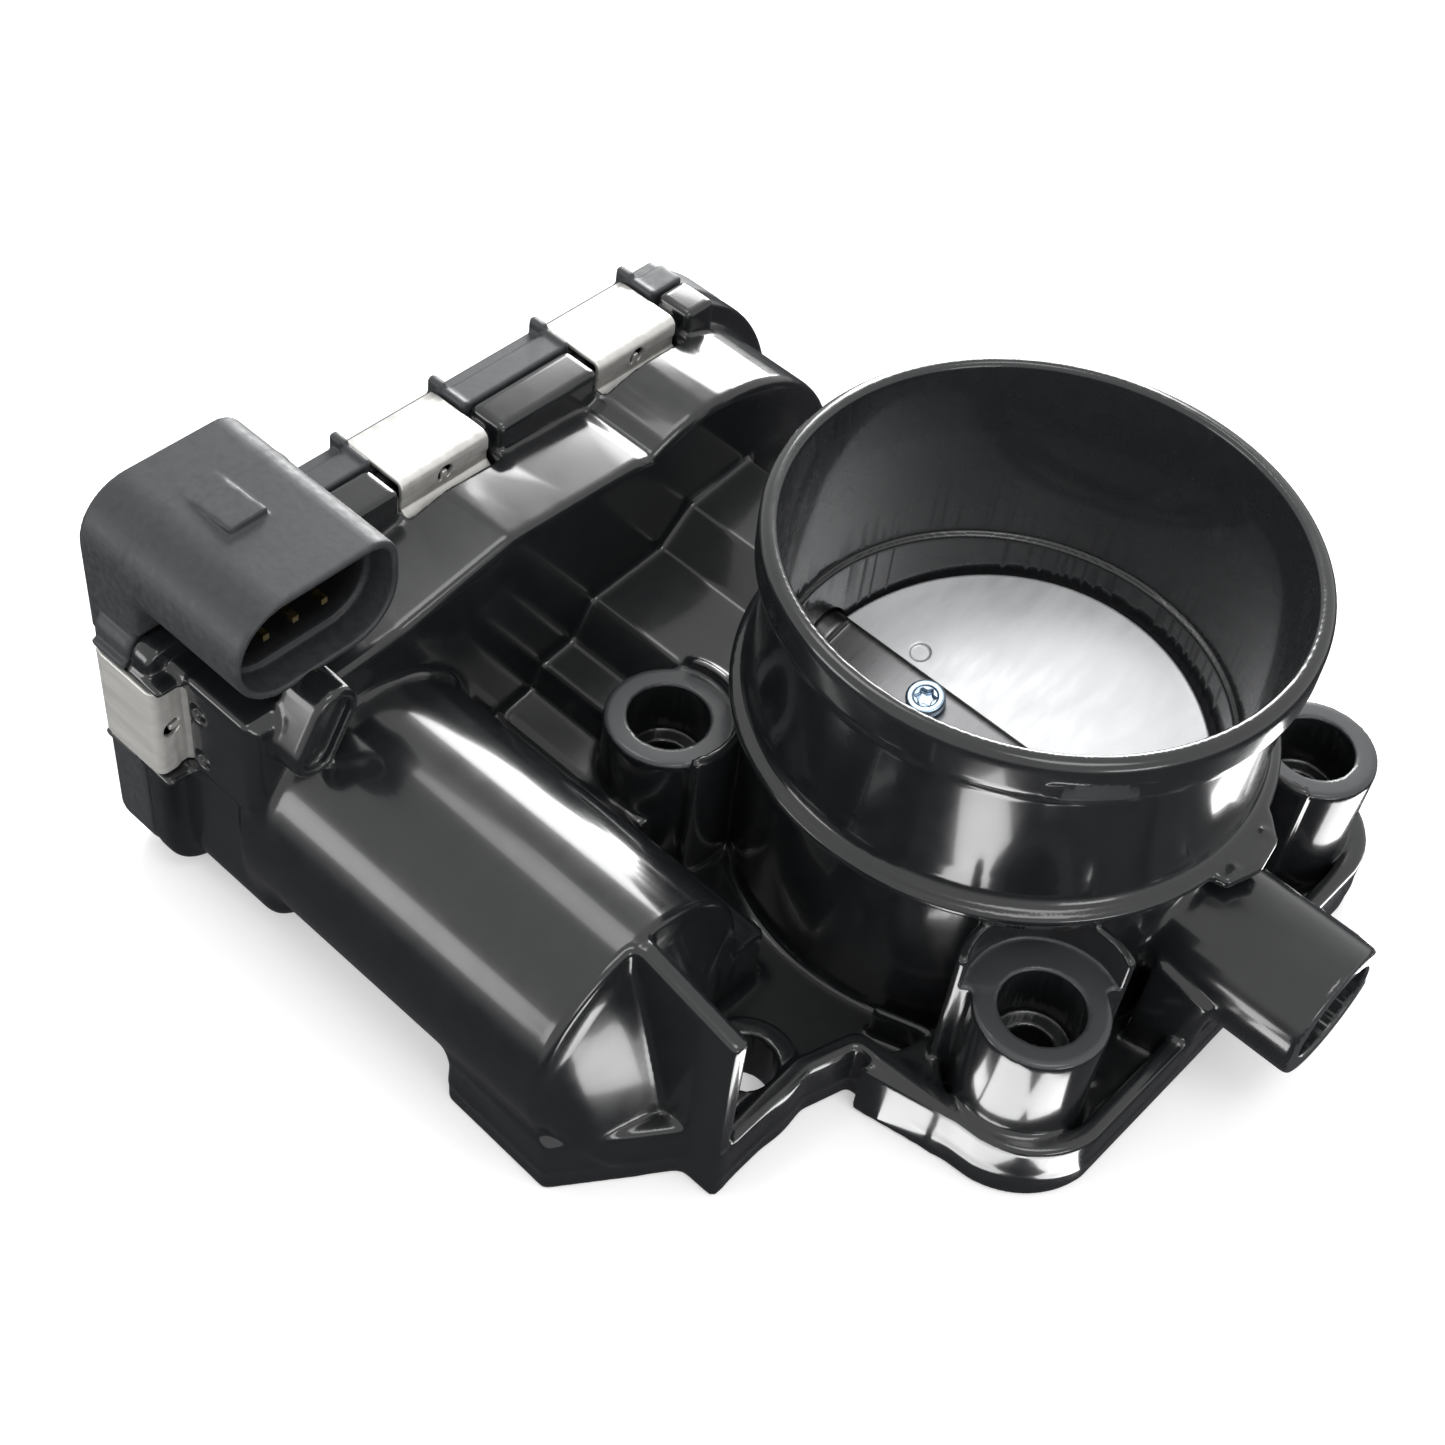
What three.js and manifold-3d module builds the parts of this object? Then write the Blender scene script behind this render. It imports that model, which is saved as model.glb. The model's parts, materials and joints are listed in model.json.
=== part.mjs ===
// Electronic throttle body: die-cast housing with a geared DC motor, a spring-loaded butterfly
// plate in the air bore, and a clipped-on plastic gear cover that carries the plug socket.
//
// Millimetres. While modelling, +Z is the air flow axis with z = 0 at the step inside the bore,
// +X is the throttle shaft's axis away from the gears, and the motor lies towards -Y. The last
// group shifts all of it so that the origin is the middle of the bottom of the bounding box.

import * as THREE from 'three';
import { mergeVertices } from 'three/addons/utils/BufferGeometryUtils.js';
import { ConvexGeometry } from 'three/addons/geometries/ConvexGeometry.js';
import Module from 'manifold-3d';

const wasm = await Module();
wasm.setup();

// ---------------------------------------------------------------- driving dimensions

const GAP = 0.3; // air left between parts that touch

// bore, hose tube and flange heights
const TUBE_TOP = 32.35;
const LIP_RADIUS = 40;
const LIP_BOTTOM = 25;
const NECK_RADIUS = 38.2;
const INLET_RADIUS = 35.1;
const BORE_RADIUS = 34;
const COLLAR_RADIUS = 41;
const BODY_RADIUS = 38.5;
const BASE_Z = -36;
const FLANGE_TOP = -31;
const FLANGE_CORNER = 14.3; // corner radius, about each bolt boss
const RIM_TOP = -24.5;
const BOSS_TOP = -7.5;
const BOSS_RADIUS = 9.8;
const BOSS_X = 35.3;
const BOSS_Y = 34.1;
const SEAT_HOLE_RADIUS = 6.2;
const SEAT_DEPTH = 10;
const BOLT_HOLE_RADIUS = 3.6;
const LUG = { x: 6.5, y: -60, radius: 8, top: -26, hole: 4.6 };
const SEAL = { outer: 37.9, inner: 35.1, depth: 2.4 }; // groove for the flange seal

// throttle shaft and plate
const SHAFT_Z = -14;
const SHAFT_RADIUS = 5;
const REST_TILT = THREE.MathUtils.degToRad(13.4);
const PLATE_RADIUS = 33.6;
const PLATE_THICKNESS = 2;
const SHAFT_FLAT = 3.2; // height of the flat above the shaft axis
const SCREW_X = 12.5;
const BEARING = { outer: 7.5, inner: 5.3, length: 9 };
const GEAR_SIDE_SEAT_END = -49;
const FAR_SEAT_START = 47;
const BEARING_BOSS_RADIUS = 11;
const BEARING_BOSS_END = 63;

// motor and gear case, both along X
const MOTOR_Y = -72;
const MOTOR_Z = -15;
const MOTOR_CAN_RADIUS = 20;
const MOTOR_RADIUS = 16.8;
const MOTOR_BORE_RADIUS = 17.3;
const MOTOR_CAN_END = -4;
const CASE_FRONT = -60;
const CASE_WALL = 3;
const CASE_FLANGE_FRONT = -78;
const BLOCK_FRONT = -75;
const CASE_JOINT = -82;
const COVER_BACK = -90;
const COVER_WALL = 2.2;
const CASE_BOTTOM = -35;
const CASE_TOP = 18.6; // where the clips sit
const BLOCK_TOP = 20.2; // raised blocks between the clips
const PLUG_LEDGE = 14; // lower top of the case, under the plug socket
const RIM_WALL = 2; // side wall around the gears
const CASE_LEFT = -94;
const CASE_CORNER = 9; // radius of the lower corner on the motor side
const CASE_ARC = 35; // round end of the case, about the throttle shaft
const GROOVE = { outer: 0.7, inner: 2.3, depth: 1.2 }; // for the cover gasket

// gear train: tooth counts and modules
const PINION = { teeth: 14, module: 0.8 };
const FIRST_BIG = { teeth: 45, module: 0.8 };
const FIRST_SMALL = { teeth: 16, module: 0.8 };
const SECOND_BIG = { teeth: 44, module: 0.8 };
const SECOND_SMALL = { teeth: 15, module: 1 };
const SECTOR = { teeth: 34, module: 1 };
const GEAR_PIN_RADIUS = 2;
const LEVEL_MOTOR = [-71, -66.2]; // pinion and first big wheel
const LEVEL_SECTOR = [-78.5, -72.5]; // second small wheel and sector
const LEVEL_MIDDLE = [-85, -80]; // first small and second big wheel
const SPRING = { turns: 2.5, radius: 9.6, wire: 0.6, from: -70.3, to: -66.2 };

// plug socket on the cover
const PLUG = {
  y: -78.5, z: 24, width: 28, height: 17, wall: 1.8,
  mouth: -60, floor: -74, // front of the shroud, and how deep it is open
  back: -81.5, rear: -92.8, // thick root of the socket, standing out behind the cover
};

// spring clips: middle of each along the joint
const CLIP = { width: 17, thickness: 0.8, back: -88.8, front: -78, hook: 6.1, shortHook: 3.2 };
const NOTCH = { depth: 7, half: 9, floor: 1.8 }; // room for a clip's lip, and the wall under it
const TOP_CLIPS = [-41.1, -1.3];
const SIDE_CLIP_Z = 0;
const END_CLIP_HALF = 6; // half the width of the clip on the round end
const BLOCKS = [[-62.5, -51], [-31.2, -11.2], [8.6, 14.8]]; // raised blocks, along y

// ---------------------------------------------------------------- materials

const material = (color, roughness, metalness) =>
  new THREE.MeshStandardMaterial({ color, roughness, metalness });

const coatedCasting = () => material(0x0b0c0d, 0.25, 0.1);
const darkPlastic = () => material(0x2c2e31, 0.6, 0);
const sateenSteel = () => material(0xc9c7c1, 0.35, 1);
const groundSteel = () => material(0x77777a, 0.35, 1);
const satinAluminium = () => material(0xd4d6d8, 0.4, 1);
const zincBlue = () => material(0xaebfd0, 0.35, 1);
const blackRubber = () => material(0x141414, 0.9, 0);
const gearPlastic = () => material(0xe4e0d2, 0.55, 0);
const brass = () => material(0xc8b56a, 0.3, 1);
const boardGreen = () => material(0x1f5b3a, 0.6, 0);
const ferrite = () => material(0x35322f, 0.7, 0.2);

// ---------------------------------------------------------------- solids

/** Turns a closed three.js geometry into a solid that can be joined and cut. */
function solid(geometry) {
  const bare = geometry.index ? geometry.toNonIndexed() : geometry.clone();
  bare.deleteAttribute('normal');
  bare.deleteAttribute('uv');
  const merged = mergeVertices(bare, 1e-4);
  return new wasm.Manifold(new wasm.Mesh({
    numProp: 3,
    vertProperties: new Float32Array(merged.attributes.position.array),
    triVerts: new Uint32Array(merged.index.array),
  }));
}

/** A named mesh from a solid. */
function part(name, body, finish) {
  const mesh = body.getMesh();
  const geometry = new THREE.BufferGeometry();
  geometry.setAttribute('position', new THREE.BufferAttribute(mesh.vertProperties, 3));
  geometry.setIndex(new THREE.BufferAttribute(mesh.triVerts, 1));
  geometry.computeVertexNormals();
  const result = new THREE.Mesh(geometry, finish);
  result.name = name;
  return result;
}

const union = (...bodies) => bodies.reduce((sum, body) => sum.add(body));
const cut = (body, ...tools) => tools.reduce((rest, tool) => rest.subtract(tool), body);

const AXES = {
  // local x, y and z of an outline drawn in a plane, by the axis it is pushed along
  x: new THREE.Matrix4().makeBasis(
    new THREE.Vector3(0, 1, 0), new THREE.Vector3(0, 0, 1), new THREE.Vector3(1, 0, 0)),
  y: new THREE.Matrix4().makeBasis(
    new THREE.Vector3(0, 0, 1), new THREE.Vector3(1, 0, 0), new THREE.Vector3(0, 1, 0)),
  z: new THREE.Matrix4(),
};

/** Pushes an outline along an axis: (y, z) along x, (z, x) along y, (x, y) along z. */
function push(axis, shape, from, to) {
  const geometry = new THREE.ExtrudeGeometry(shape, { depth: to - from, bevelEnabled: false });
  geometry.translate(0, 0, from);
  geometry.applyMatrix4(AXES[axis]);
  return solid(geometry);
}

/** A closed outline through points given as [a, b] pairs. */
const outline = (points) => new THREE.Shape(points.map(([a, b]) => new THREE.Vector2(a, b)));

/** Points on an arc, angles in degrees. */
function arc(a, b, radius, start, end, steps) {
  return Array.from({ length: steps + 1 }, (_, i) => {
    const angle = THREE.MathUtils.degToRad(start + ((end - start) * i) / steps);
    return [a + radius * Math.cos(angle), b + radius * Math.sin(angle)];
  });
}

/** A round bar along an axis, centred on (a, b) in that axis's outline plane. */
const bar = (axis, radius, from, to, a, b, sides = 24) =>
  push(axis, outline(arc(a, b, radius, 0, 360 - 360 / sides, sides - 1)), from, to);

/** A block between two corners. */
function block(x0, x1, y0, y1, z0, z1) {
  const geometry = new THREE.BoxGeometry(x1 - x0, y1 - y0, z1 - z0);
  geometry.translate((x0 + x1) / 2, (y0 + y1) / 2, (z0 + z1) / 2);
  return solid(geometry);
}

/** A solid turned about the bore axis from [radius, z] pairs that close on themselves. */
function turned(profile, sides = 48) {
  const points = [...profile, profile[0]].map(([r, z]) => new THREE.Vector2(r, z));
  const geometry = new THREE.LatheGeometry(points, sides);
  geometry.rotateX(Math.PI / 2);
  return solid(geometry);
}

/** An obround in the (y, z) plane: width along y, height along z. */
function obround(y, z, width, height, steps = 8) {
  const radius = height / 2;
  const reach = width / 2 - radius;
  return outline([
    ...arc(y + reach, z, radius, -90, 90, steps),
    ...arc(y - reach, z, radius, 90, 270, steps),
  ]);
}

// ---------------------------------------------------------------- gear teeth

/** Outline of a spur wheel about (0, 0); `spin` turns the middle of one tooth to that angle. */
function wheelPoints({ teeth, module }, spin, keep = () => true) {
  const pitch = (teeth * module) / 2;
  const tip = pitch + 0.85 * module;
  const root = pitch - 1.2 * module;
  const base = pitch * Math.cos(THREE.MathUtils.degToRad(20));
  const involute = (radius) => {
    const ratio = Math.max(radius / base, 1);
    const turn = Math.acos(1 / ratio);
    return Math.tan(turn) - turn;
  };
  const halfTooth = (0.44 * Math.PI) / teeth; // thinner than half a pitch, for backlash
  const halfAt = (radius) => halfTooth + involute(pitch) - involute(radius);
  const flank = [root, pitch, tip];
  const points = [];
  for (let i = 0; i < teeth; i += 1) {
    const middle = spin + (i * 2 * Math.PI) / teeth;
    if (!keep(i)) {
      points.push([root, middle]);
      continue;
    }
    flank.forEach((radius) => points.push([radius, middle - halfAt(radius)]));
    [...flank].reverse().forEach((radius) => points.push([radius, middle + halfAt(radius)]));
  }
  return points.map(([radius, angle]) => [radius * Math.cos(angle), radius * Math.sin(angle)]);
}

/** A spur wheel on the axis (y, z). */
function wheel(gear, centre, level, spin, keep) {
  const points = wheelPoints(gear, spin, keep).map(([a, b]) => [a + centre.y, b + centre.z]);
  return push('x', outline(points), level[0], level[1]);
}

const pitchRadius = ({ teeth, module }) => (teeth * module) / 2;
const angleTo = (from, to) => Math.atan2(to.z - from.z, to.y - from.y);

const SHAFT_AXIS = { y: 0, z: SHAFT_Z };
const MOTOR_AXIS = { y: MOTOR_Y, z: MOTOR_Z };

// the second wheel sits on the line from the shaft to the motor, and the first one where its
// distances to the motor and to the second wheel are both right
const alongTrain = angleTo(SHAFT_AXIS, MOTOR_AXIS);
const secondReach = pitchRadius(SECTOR) + pitchRadius(SECOND_SMALL);
const SECOND_AXIS = {
  y: SHAFT_AXIS.y + secondReach * Math.cos(alongTrain),
  z: SHAFT_AXIS.z + secondReach * Math.sin(alongTrain),
};
const motorToSecond = Math.hypot(SECOND_AXIS.y - MOTOR_Y, SECOND_AXIS.z - MOTOR_Z);
const motorToFirst = pitchRadius(PINION) + pitchRadius(FIRST_BIG);
const firstToSecond = pitchRadius(FIRST_SMALL) + pitchRadius(SECOND_BIG);
const firstAngle = Math.acos(
  (motorToFirst ** 2 + motorToSecond ** 2 - firstToSecond ** 2) / (2 * motorToFirst * motorToSecond));
const firstDirection = angleTo(MOTOR_AXIS, SECOND_AXIS) + firstAngle;
const FIRST_AXIS = {
  y: MOTOR_Y + motorToFirst * Math.cos(firstDirection),
  z: MOTOR_Z + motorToFirst * Math.sin(firstDirection),
};

/** Spin that puts a gap of `gear` where a tooth of its driver, spun by `driverSpin`, points at it. */
function meshSpin(driver, driverAxis, driverSpin, gear, axis) {
  const towards = angleTo(driverAxis, axis);
  const driverPitch = (2 * Math.PI) / driver.teeth;
  const toothOffset = (towards - driverSpin) / driverPitch;
  const phase = toothOffset - Math.round(toothOffset);
  const pitch = (2 * Math.PI) / gear.teeth;
  return towards + Math.PI + pitch / 2 + phase * pitch;
}

// ---------------------------------------------------------------- housing

/** Outline of the gear case flange and cover, drawn `inset` inside the outer one. */
function caseOutline(inset) {
  const corner = CASE_CORNER - inset;
  const radius = CASE_ARC - inset;
  const top = CASE_TOP - inset;
  const ledge = PLUG_LEDGE - inset;
  const bottom = CASE_BOTTOM + inset;
  const left = CASE_LEFT + inset;
  const topAngle = THREE.MathUtils.radToDeg(Math.asin((top - SHAFT_Z) / radius));
  const bottomAngle = THREE.MathUtils.radToDeg(Math.asin((bottom - SHAFT_Z) / radius));
  return outline([
    ...arc(left + corner, bottom + corner, corner, 180, 270, 8),
    ...arc(0, SHAFT_Z, radius, bottomAngle, topAngle, 16),
    [-62.5 + inset, top],
    [-62.5 + inset, ledge],
    ...arc(left + 3, ledge - 3, 3, 90, 180, 3),
  ]);
}

/** Front part of the gear case: a lower, stepped top and a tighter round end. */
function caseFrontOutline(inset) {
  const corner = CASE_CORNER - inset;
  const radius = 31.5 - inset;
  const left = -90.5 + inset;
  const bottom = CASE_BOTTOM + inset * (RIM_WALL / CASE_WALL);
  const bottomAngle = THREE.MathUtils.radToDeg(Math.asin((bottom - SHAFT_Z) / radius));
  return outline([
    ...arc(left + corner, bottom + corner, corner, 180, 270, 8),
    ...arc(0, SHAFT_Z, radius, bottomAngle, 116, 16),
    [-16, 15 - inset],
    [-43, 16.5 - inset],
    [-64, 12.5 - inset],
    [left, 11 - inset],
  ]);
}

/** Room for the wheels that reach down close to the bottom of the case. */
function wheelRoom(from, to) {
  const radius = pitchRadius(FIRST_BIG) + 1.4;
  const centres = [FIRST_AXIS, SECOND_AXIS, SHAFT_AXIS];
  return union(...centres.map(({ y, z }) => bar('x', radius, from, to, y, z, 22)));
}

function boltBosses() {
  const corners = [[1, 1], [1, -1], [-1, 1], [-1, -1]];
  return corners.map(([i, j]) => ({ x: i * BOSS_X, y: j * BOSS_Y }));
}

/** Outline of the mounting flange, which runs out under the motor's closed end. */
function flangeOutline(inset) {
  const reach = FLANGE_CORNER - inset;
  return outline([
    [-22, -90 + inset],
    [-2.4, -90.5 + inset],
    [9.4 - inset * 0.6, -74 + inset],
    [14.9 - inset, -74 + inset],
    [14.3 - inset, -55],
    [16.5 - inset * 0.5, -47.5 + inset],
    ...arc(BOSS_X, -BOSS_Y + 2, reach, -80, -8, 6),
    ...arc(BOSS_X - 0.5, BOSS_Y - 1, reach, 6, 90, 6),
    ...arc(-BOSS_X, BOSS_Y - 1, reach, 90, 165, 6),
    [-50 + inset, -20],
    [-50 + inset, -60],
  ]);
}

function throttleHousing() {
  const tube = turned([
    [BORE_RADIUS - 2, BASE_Z],
    [BODY_RADIUS, BASE_Z],
    [BODY_RADIUS, -1.5],
    [COLLAR_RADIUS, -0.5],
    [COLLAR_RADIUS, 1],
    [NECK_RADIUS + 0.6, 1.6],
    [NECK_RADIUS, 5],
    [NECK_RADIUS, LIP_BOTTOM - 1.5],
    [LIP_RADIUS, LIP_BOTTOM],
    [LIP_RADIUS, TUBE_TOP - 1],
    [LIP_RADIUS - 1, TUBE_TOP],
    [BORE_RADIUS - 2, TUBE_TOP],
  ]);

  const floor = push('z', flangeOutline(0), BASE_Z, FLANGE_TOP);
  const rim = cut(
    push('z', flangeOutline(0), FLANGE_TOP, RIM_TOP),
    push('z', flangeOutline(3), FLANGE_TOP, RIM_TOP + 1));
  const bosses = boltBosses().map(({ x, y }) => bar('z', BOSS_RADIUS, BASE_Z, BOSS_TOP, x, y));
  const bossWebs = boltBosses().map(({ x, y }) => {
    const web = new THREE.BoxGeometry(Math.hypot(x, y), 5, -12 - BASE_Z);
    web.translate(Math.hypot(x, y) / 2, 0, (BASE_Z - 12) / 2);
    web.rotateZ(Math.atan2(y, x));
    return solid(web);
  });
  const lug = bar('z', LUG.radius, BASE_Z, LUG.top, LUG.x, LUG.y);

  const motorCan = bar('x', MOTOR_CAN_RADIUS, CASE_FRONT - 4, MOTOR_CAN_END, MOTOR_Y, MOTOR_Z, 30);
  const canRim = arc(MOTOR_Y, MOTOR_Z, MOTOR_CAN_RADIUS, 0, 348, 29)
    .map(([y, z]) => new THREE.Vector3(MOTOR_CAN_END, y, z));
  const nose = solid(new ConvexGeometry([
    ...canRim,
    new THREE.Vector3(7, -73, FLANGE_TOP),
    new THREE.Vector3(4, -84, FLANGE_TOP),
    new THREE.Vector3(3, -66, MOTOR_Z),
  ]));
  const fin = push('y', outline([
    [BASE_Z, -8], [BASE_Z, 14.6], [0.8, 14.6], [5, -3], [3, -8],
  ]), -74.6, -71.6);
  const noseShelf = push('z', outline([
    [-48, -62], [-22, -89], [-2.4, -89], [5, -79], [5, -60],
  ]), BASE_Z, -26.6);
  const canCradle = block(CASE_FRONT, MOTOR_CAN_END, -80, -45, BASE_Z, MOTOR_Z - 4);

  const caseFlange = push('x', caseOutline(0), CASE_JOINT, CASE_FLANGE_FRONT);
  const caseFront = push('x', caseFrontOutline(0), CASE_FLANGE_FRONT, CASE_FRONT);
  const blocks = BLOCKS.map(([y0, y1]) =>
    block(CASE_JOINT, BLOCK_FRONT, y0, y1, 10, BLOCK_TOP));
  const sideBlock = block(CLIP.front + 4.1, CASE_FRONT - 1, -91.2, -86, -7, 12);

  const steps = outline([
    [9, -30], [9, 1], [-4.5, -0.8], [-10.6, -6.2], [-25.5, -7.4], [-29.6, -13.8],
    [-36, -14.8], [-38, -18.8], [-44, -20], [-50, -30],
  ]);
  const web = push('x', steps, CASE_FRONT - 1, -30);
  const gearSideBoss = bar('x', BEARING_BOSS_RADIUS, CASE_FRONT - 1, -30, 0, SHAFT_Z);
  const farBoss = bar('x', BEARING_BOSS_RADIUS, 30, BEARING_BOSS_END, 0, SHAFT_Z);
  const farWeb = block(30, 46, -4, 4, BASE_Z, SHAFT_Z);

  const outer = union(tube, floor, rim, ...bosses, ...bossWebs, lug, motorCan, nose, fin, noseShelf,
    canCradle, caseFlange, caseFront, ...blocks, sideBlock, web, gearSideBoss, farBoss, farWeb);

  const airWay = turned([
    [0, BASE_Z - 1],
    [BORE_RADIUS, BASE_Z - 1],
    [BORE_RADIUS, 0],
    [INLET_RADIUS, 0],
    [INLET_RADIUS + 1.2, 20],
    [INLET_RADIUS + 2.3, TUBE_TOP + 1],
    [0, TUBE_TOP + 1],
  ]);
  const seats = boltBosses().flatMap(({ x, y }) => [
    bar('z', SEAT_HOLE_RADIUS, BOSS_TOP - SEAT_DEPTH, BOSS_TOP + 1, x, y, 20),
    bar('z', BOLT_HOLE_RADIUS, BASE_Z - 1, BOSS_TOP, x, y, 12),
  ]);
  const lugHole = bar('z', LUG.hole, BASE_Z - 1, LUG.top + 1, LUG.x, LUG.y, 16);
  const shaftHole = bar('x', BEARING.inner, CASE_FRONT - 5, BEARING_BOSS_END - 4, 0, SHAFT_Z, 20);
  const gearSideSeat = bar('x', BEARING.outer + GAP, CASE_FRONT - 5, GEAR_SIDE_SEAT_END, 0, SHAFT_Z, 20);
  const farSeat = bar('x', BEARING.outer + GAP, FAR_SEAT_START, BEARING_BOSS_END + 1, 0, SHAFT_Z, 20);
  const motorBore = bar('x', MOTOR_BORE_RADIUS, CASE_FRONT - 5, MOTOR_CAN_END - 3, MOTOR_Y, MOTOR_Z, 28);
  const notchFloor = CASE_TOP - NOTCH.depth;
  const notchSide = CASE_LEFT + NOTCH.depth;
  const underNotches = block(
    CLIP.front - 3.4, CASE_FRONT, -53, 11, notchFloor - NOTCH.floor, CASE_TOP);
  const behindNotch = block(
    CLIP.front - 3.4, CLIP.front + 5.6, CASE_LEFT, notchSide + NOTCH.floor, -11, 11);
  const pocket = cut(
    union(
      push('x', caseFrontOutline(CASE_WALL), CASE_FLANGE_FRONT - 0.5, CASE_FRONT - CASE_WALL),
      push('x', caseOutline(CASE_WALL + 1.4), CASE_JOINT - 1, CASE_FLANGE_FRONT),
      wheelRoom(CASE_JOINT - 1, CASE_FLANGE_FRONT)),
    underNotches, behindNotch);
  const gasketGroove = cut(
    push('x', caseOutline(GROOVE.outer), CASE_JOINT - 1, CASE_JOINT + GROOVE.depth),
    push('x', caseOutline(GROOVE.inner), CASE_JOINT - 2, CASE_JOINT + GROOVE.depth + 1));
  const sealGroove = cut(
    bar('z', SEAL.outer, BASE_Z - 1, BASE_Z + SEAL.depth, 0, 0, 48),
    bar('z', SEAL.inner, BASE_Z - 2, BASE_Z + SEAL.depth + 1, 0, 0, 48));
  const clipNotches = TOP_CLIPS.map((y) =>
    block(CLIP.front - 1.2, CLIP.front + 3.8, y - NOTCH.half, y + NOTCH.half,
      notchFloor, CASE_TOP + 1));
  const sideNotch = block(CLIP.front - 1.2, CLIP.front + 3.8, CASE_LEFT - 1, notchSide,
    SIDE_CLIP_Z - NOTCH.half, SIDE_CLIP_Z + NOTCH.half);
  const pins = [FIRST_AXIS, SECOND_AXIS].map(({ y, z }) =>
    bar('x', GEAR_PIN_RADIUS + GAP, CASE_FRONT - 5, CASE_FRONT - 1, y, z, 12));

  return cut(outer, airWay, ...seats, lugHole, shaftHole, gearSideSeat, farSeat, motorBore, pocket,
    gasketGroove, sealGroove, ...clipNotches, sideNotch, ...pins);
}

// ---------------------------------------------------------------- gear cover and plug

function gearCover() {
  const shell = push('x', caseOutline(0), COVER_BACK, CASE_JOINT - GAP);
  const inside = union(
    push('x', caseOutline(CASE_WALL + 1.4), COVER_BACK + COVER_WALL, CASE_JOINT + 1),
    wheelRoom(COVER_BACK + COVER_WALL, CASE_JOINT + 1));

  const socketRoot = push('x', outline([
    ...arc(PLUG.y - 5.5, PLUG.z, PLUG.height / 2, 90, 180, 8),
    [PLUG.y - 14, 8],
    [PLUG.y + 14, 8],
    ...arc(PLUG.y + 10.5, PLUG.z + PLUG.height / 2 - 3.5, 3.5, 0, 90, 4),
  ]), PLUG.rear, PLUG.back);
  const outside = obround(PLUG.y, PLUG.z, PLUG.width, PLUG.height);
  const shroud = push('x', outside, PLUG.back - 2, PLUG.mouth);
  const latch = push('y', outline([
    [PLUG.z + 8, PLUG.mouth - 24.5], [PLUG.z + 8, PLUG.mouth - 13.5],
    [PLUG.z + 9.8, PLUG.mouth - 13.8], [PLUG.z + 8.7, PLUG.mouth - 24.5],
  ]), PLUG.y - 3, PLUG.y + 3);
  const mouth = push('x', obround(
    PLUG.y, PLUG.z, PLUG.width - 2 * PLUG.wall, PLUG.height - 2 * PLUG.wall), PLUG.floor, PLUG.mouth + 1);
  const caseRelief = block(
    CASE_JOINT - GAP, CASE_FRONT + 0.6, CASE_LEFT - 2, -60, 0, PLUG_LEDGE + GAP);

  const clipTabs = TOP_CLIPS.flatMap((y) => [-1, 1].map((side) => {
    const edge = y + side * (CLIP.width / 2 + 1);
    return block(COVER_BACK, COVER_BACK + 3, edge - 0.8, edge + 0.8, CASE_TOP - 2, BLOCK_TOP + 1);
  }));
  const strips = BLOCKS.map(([y0, y1]) =>
    block(COVER_BACK + 0.8, CASE_JOINT - GAP, y0, y1, CASE_TOP - 3, BLOCK_TOP));
  const pinBosses = [FIRST_AXIS, SECOND_AXIS].map(({ y, z }) =>
    bar('x', 4, COVER_BACK + 1, LEVEL_MIDDLE[0] - 0.6, y, z, 20));
  const pinSeats = [FIRST_AXIS, SECOND_AXIS].map(({ y, z }) =>
    bar('x', GEAR_PIN_RADIUS + GAP, COVER_BACK + COVER_WALL, LEVEL_MIDDLE[0], y, z, 16));
  const boardPads = [[-3, -26], [-3, -2], [15, -26], [15, -2]].map(([y, z]) =>
    bar('x', 1.5, COVER_BACK + 1, BOARD_BACK - GAP, y, z, 12));

  const pinHoles = pinPlaces().map(({ y, z }) =>
    block(COVER_BACK + COVER_WALL - 1, PLUG.floor + 1,
      y - PIN_HALF - 0.2, y + PIN_HALF + 0.2, z - PIN_HALF - 0.2, z + PIN_HALF + 0.2));

  const casing = union(cut(shell, inside), ...pinBosses, ...boardPads);
  const socket = cut(union(socketRoot, shroud, latch), mouth, caseRelief);
  return cut(union(casing, socket, ...clipTabs, ...strips), ...pinHoles, ...pinSeats);
}

const PIN_HALF = 0.5;

/** Two rows of three plug pins. */
function pinPlaces() {
  return [-1, 1].flatMap((row) => [-1, 0, 1].map((column) => ({
    y: PLUG.y + column * 5,
    z: PLUG.z + row * 2.6,
  })));
}

const plugPin = ({ y, z }) => block(COVER_BACK + COVER_WALL, PLUG.mouth - 5,
  y - PIN_HALF, y + PIN_HALF, z - PIN_HALF, z + PIN_HALF);

function coverGasket() {
  return cut(
    push('x', caseOutline(GROOVE.outer + GAP), CASE_JOINT, CASE_JOINT + GROOVE.depth - GAP),
    push('x', caseOutline(GROOVE.inner - GAP), CASE_JOINT - 1, CASE_JOINT + GROOVE.depth + 1));
}

/** Section of a spring clip over a joint whose outside is at `top`, with a front lip `hook` long. */
function clipSection(top, hook) {
  const inner = top + GAP;
  const outer = inner + CLIP.thickness;
  return outline([
    [inner, CLIP.back], [inner, CLIP.front + 0.9], [inner - hook + 0.6, CLIP.front + 0.9],
    [inner - hook, CLIP.front + 2.6], [inner - hook + 0.9, CLIP.front + 2.9],
    [inner - hook + 1.5, CLIP.front + 1.8], [outer - 0.6, CLIP.front + 1.8],
    [outer, CLIP.front + 1.2], [outer, CLIP.back],
  ]);
}

const topClip = (y) =>
  push('y', clipSection(CASE_TOP, CLIP.hook), y - CLIP.width / 2, y + CLIP.width / 2);

/** The clip on the motor side, turned a quarter so that it lies on the case's left wall. */
function sideClip() {
  const half = CLIP.width / 2;
  const section = clipSection(-CASE_LEFT, CLIP.hook);
  return push('y', section, SIDE_CLIP_Z - half, SIDE_CLIP_Z + half).rotate([90, 0, 0]);
}

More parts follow.
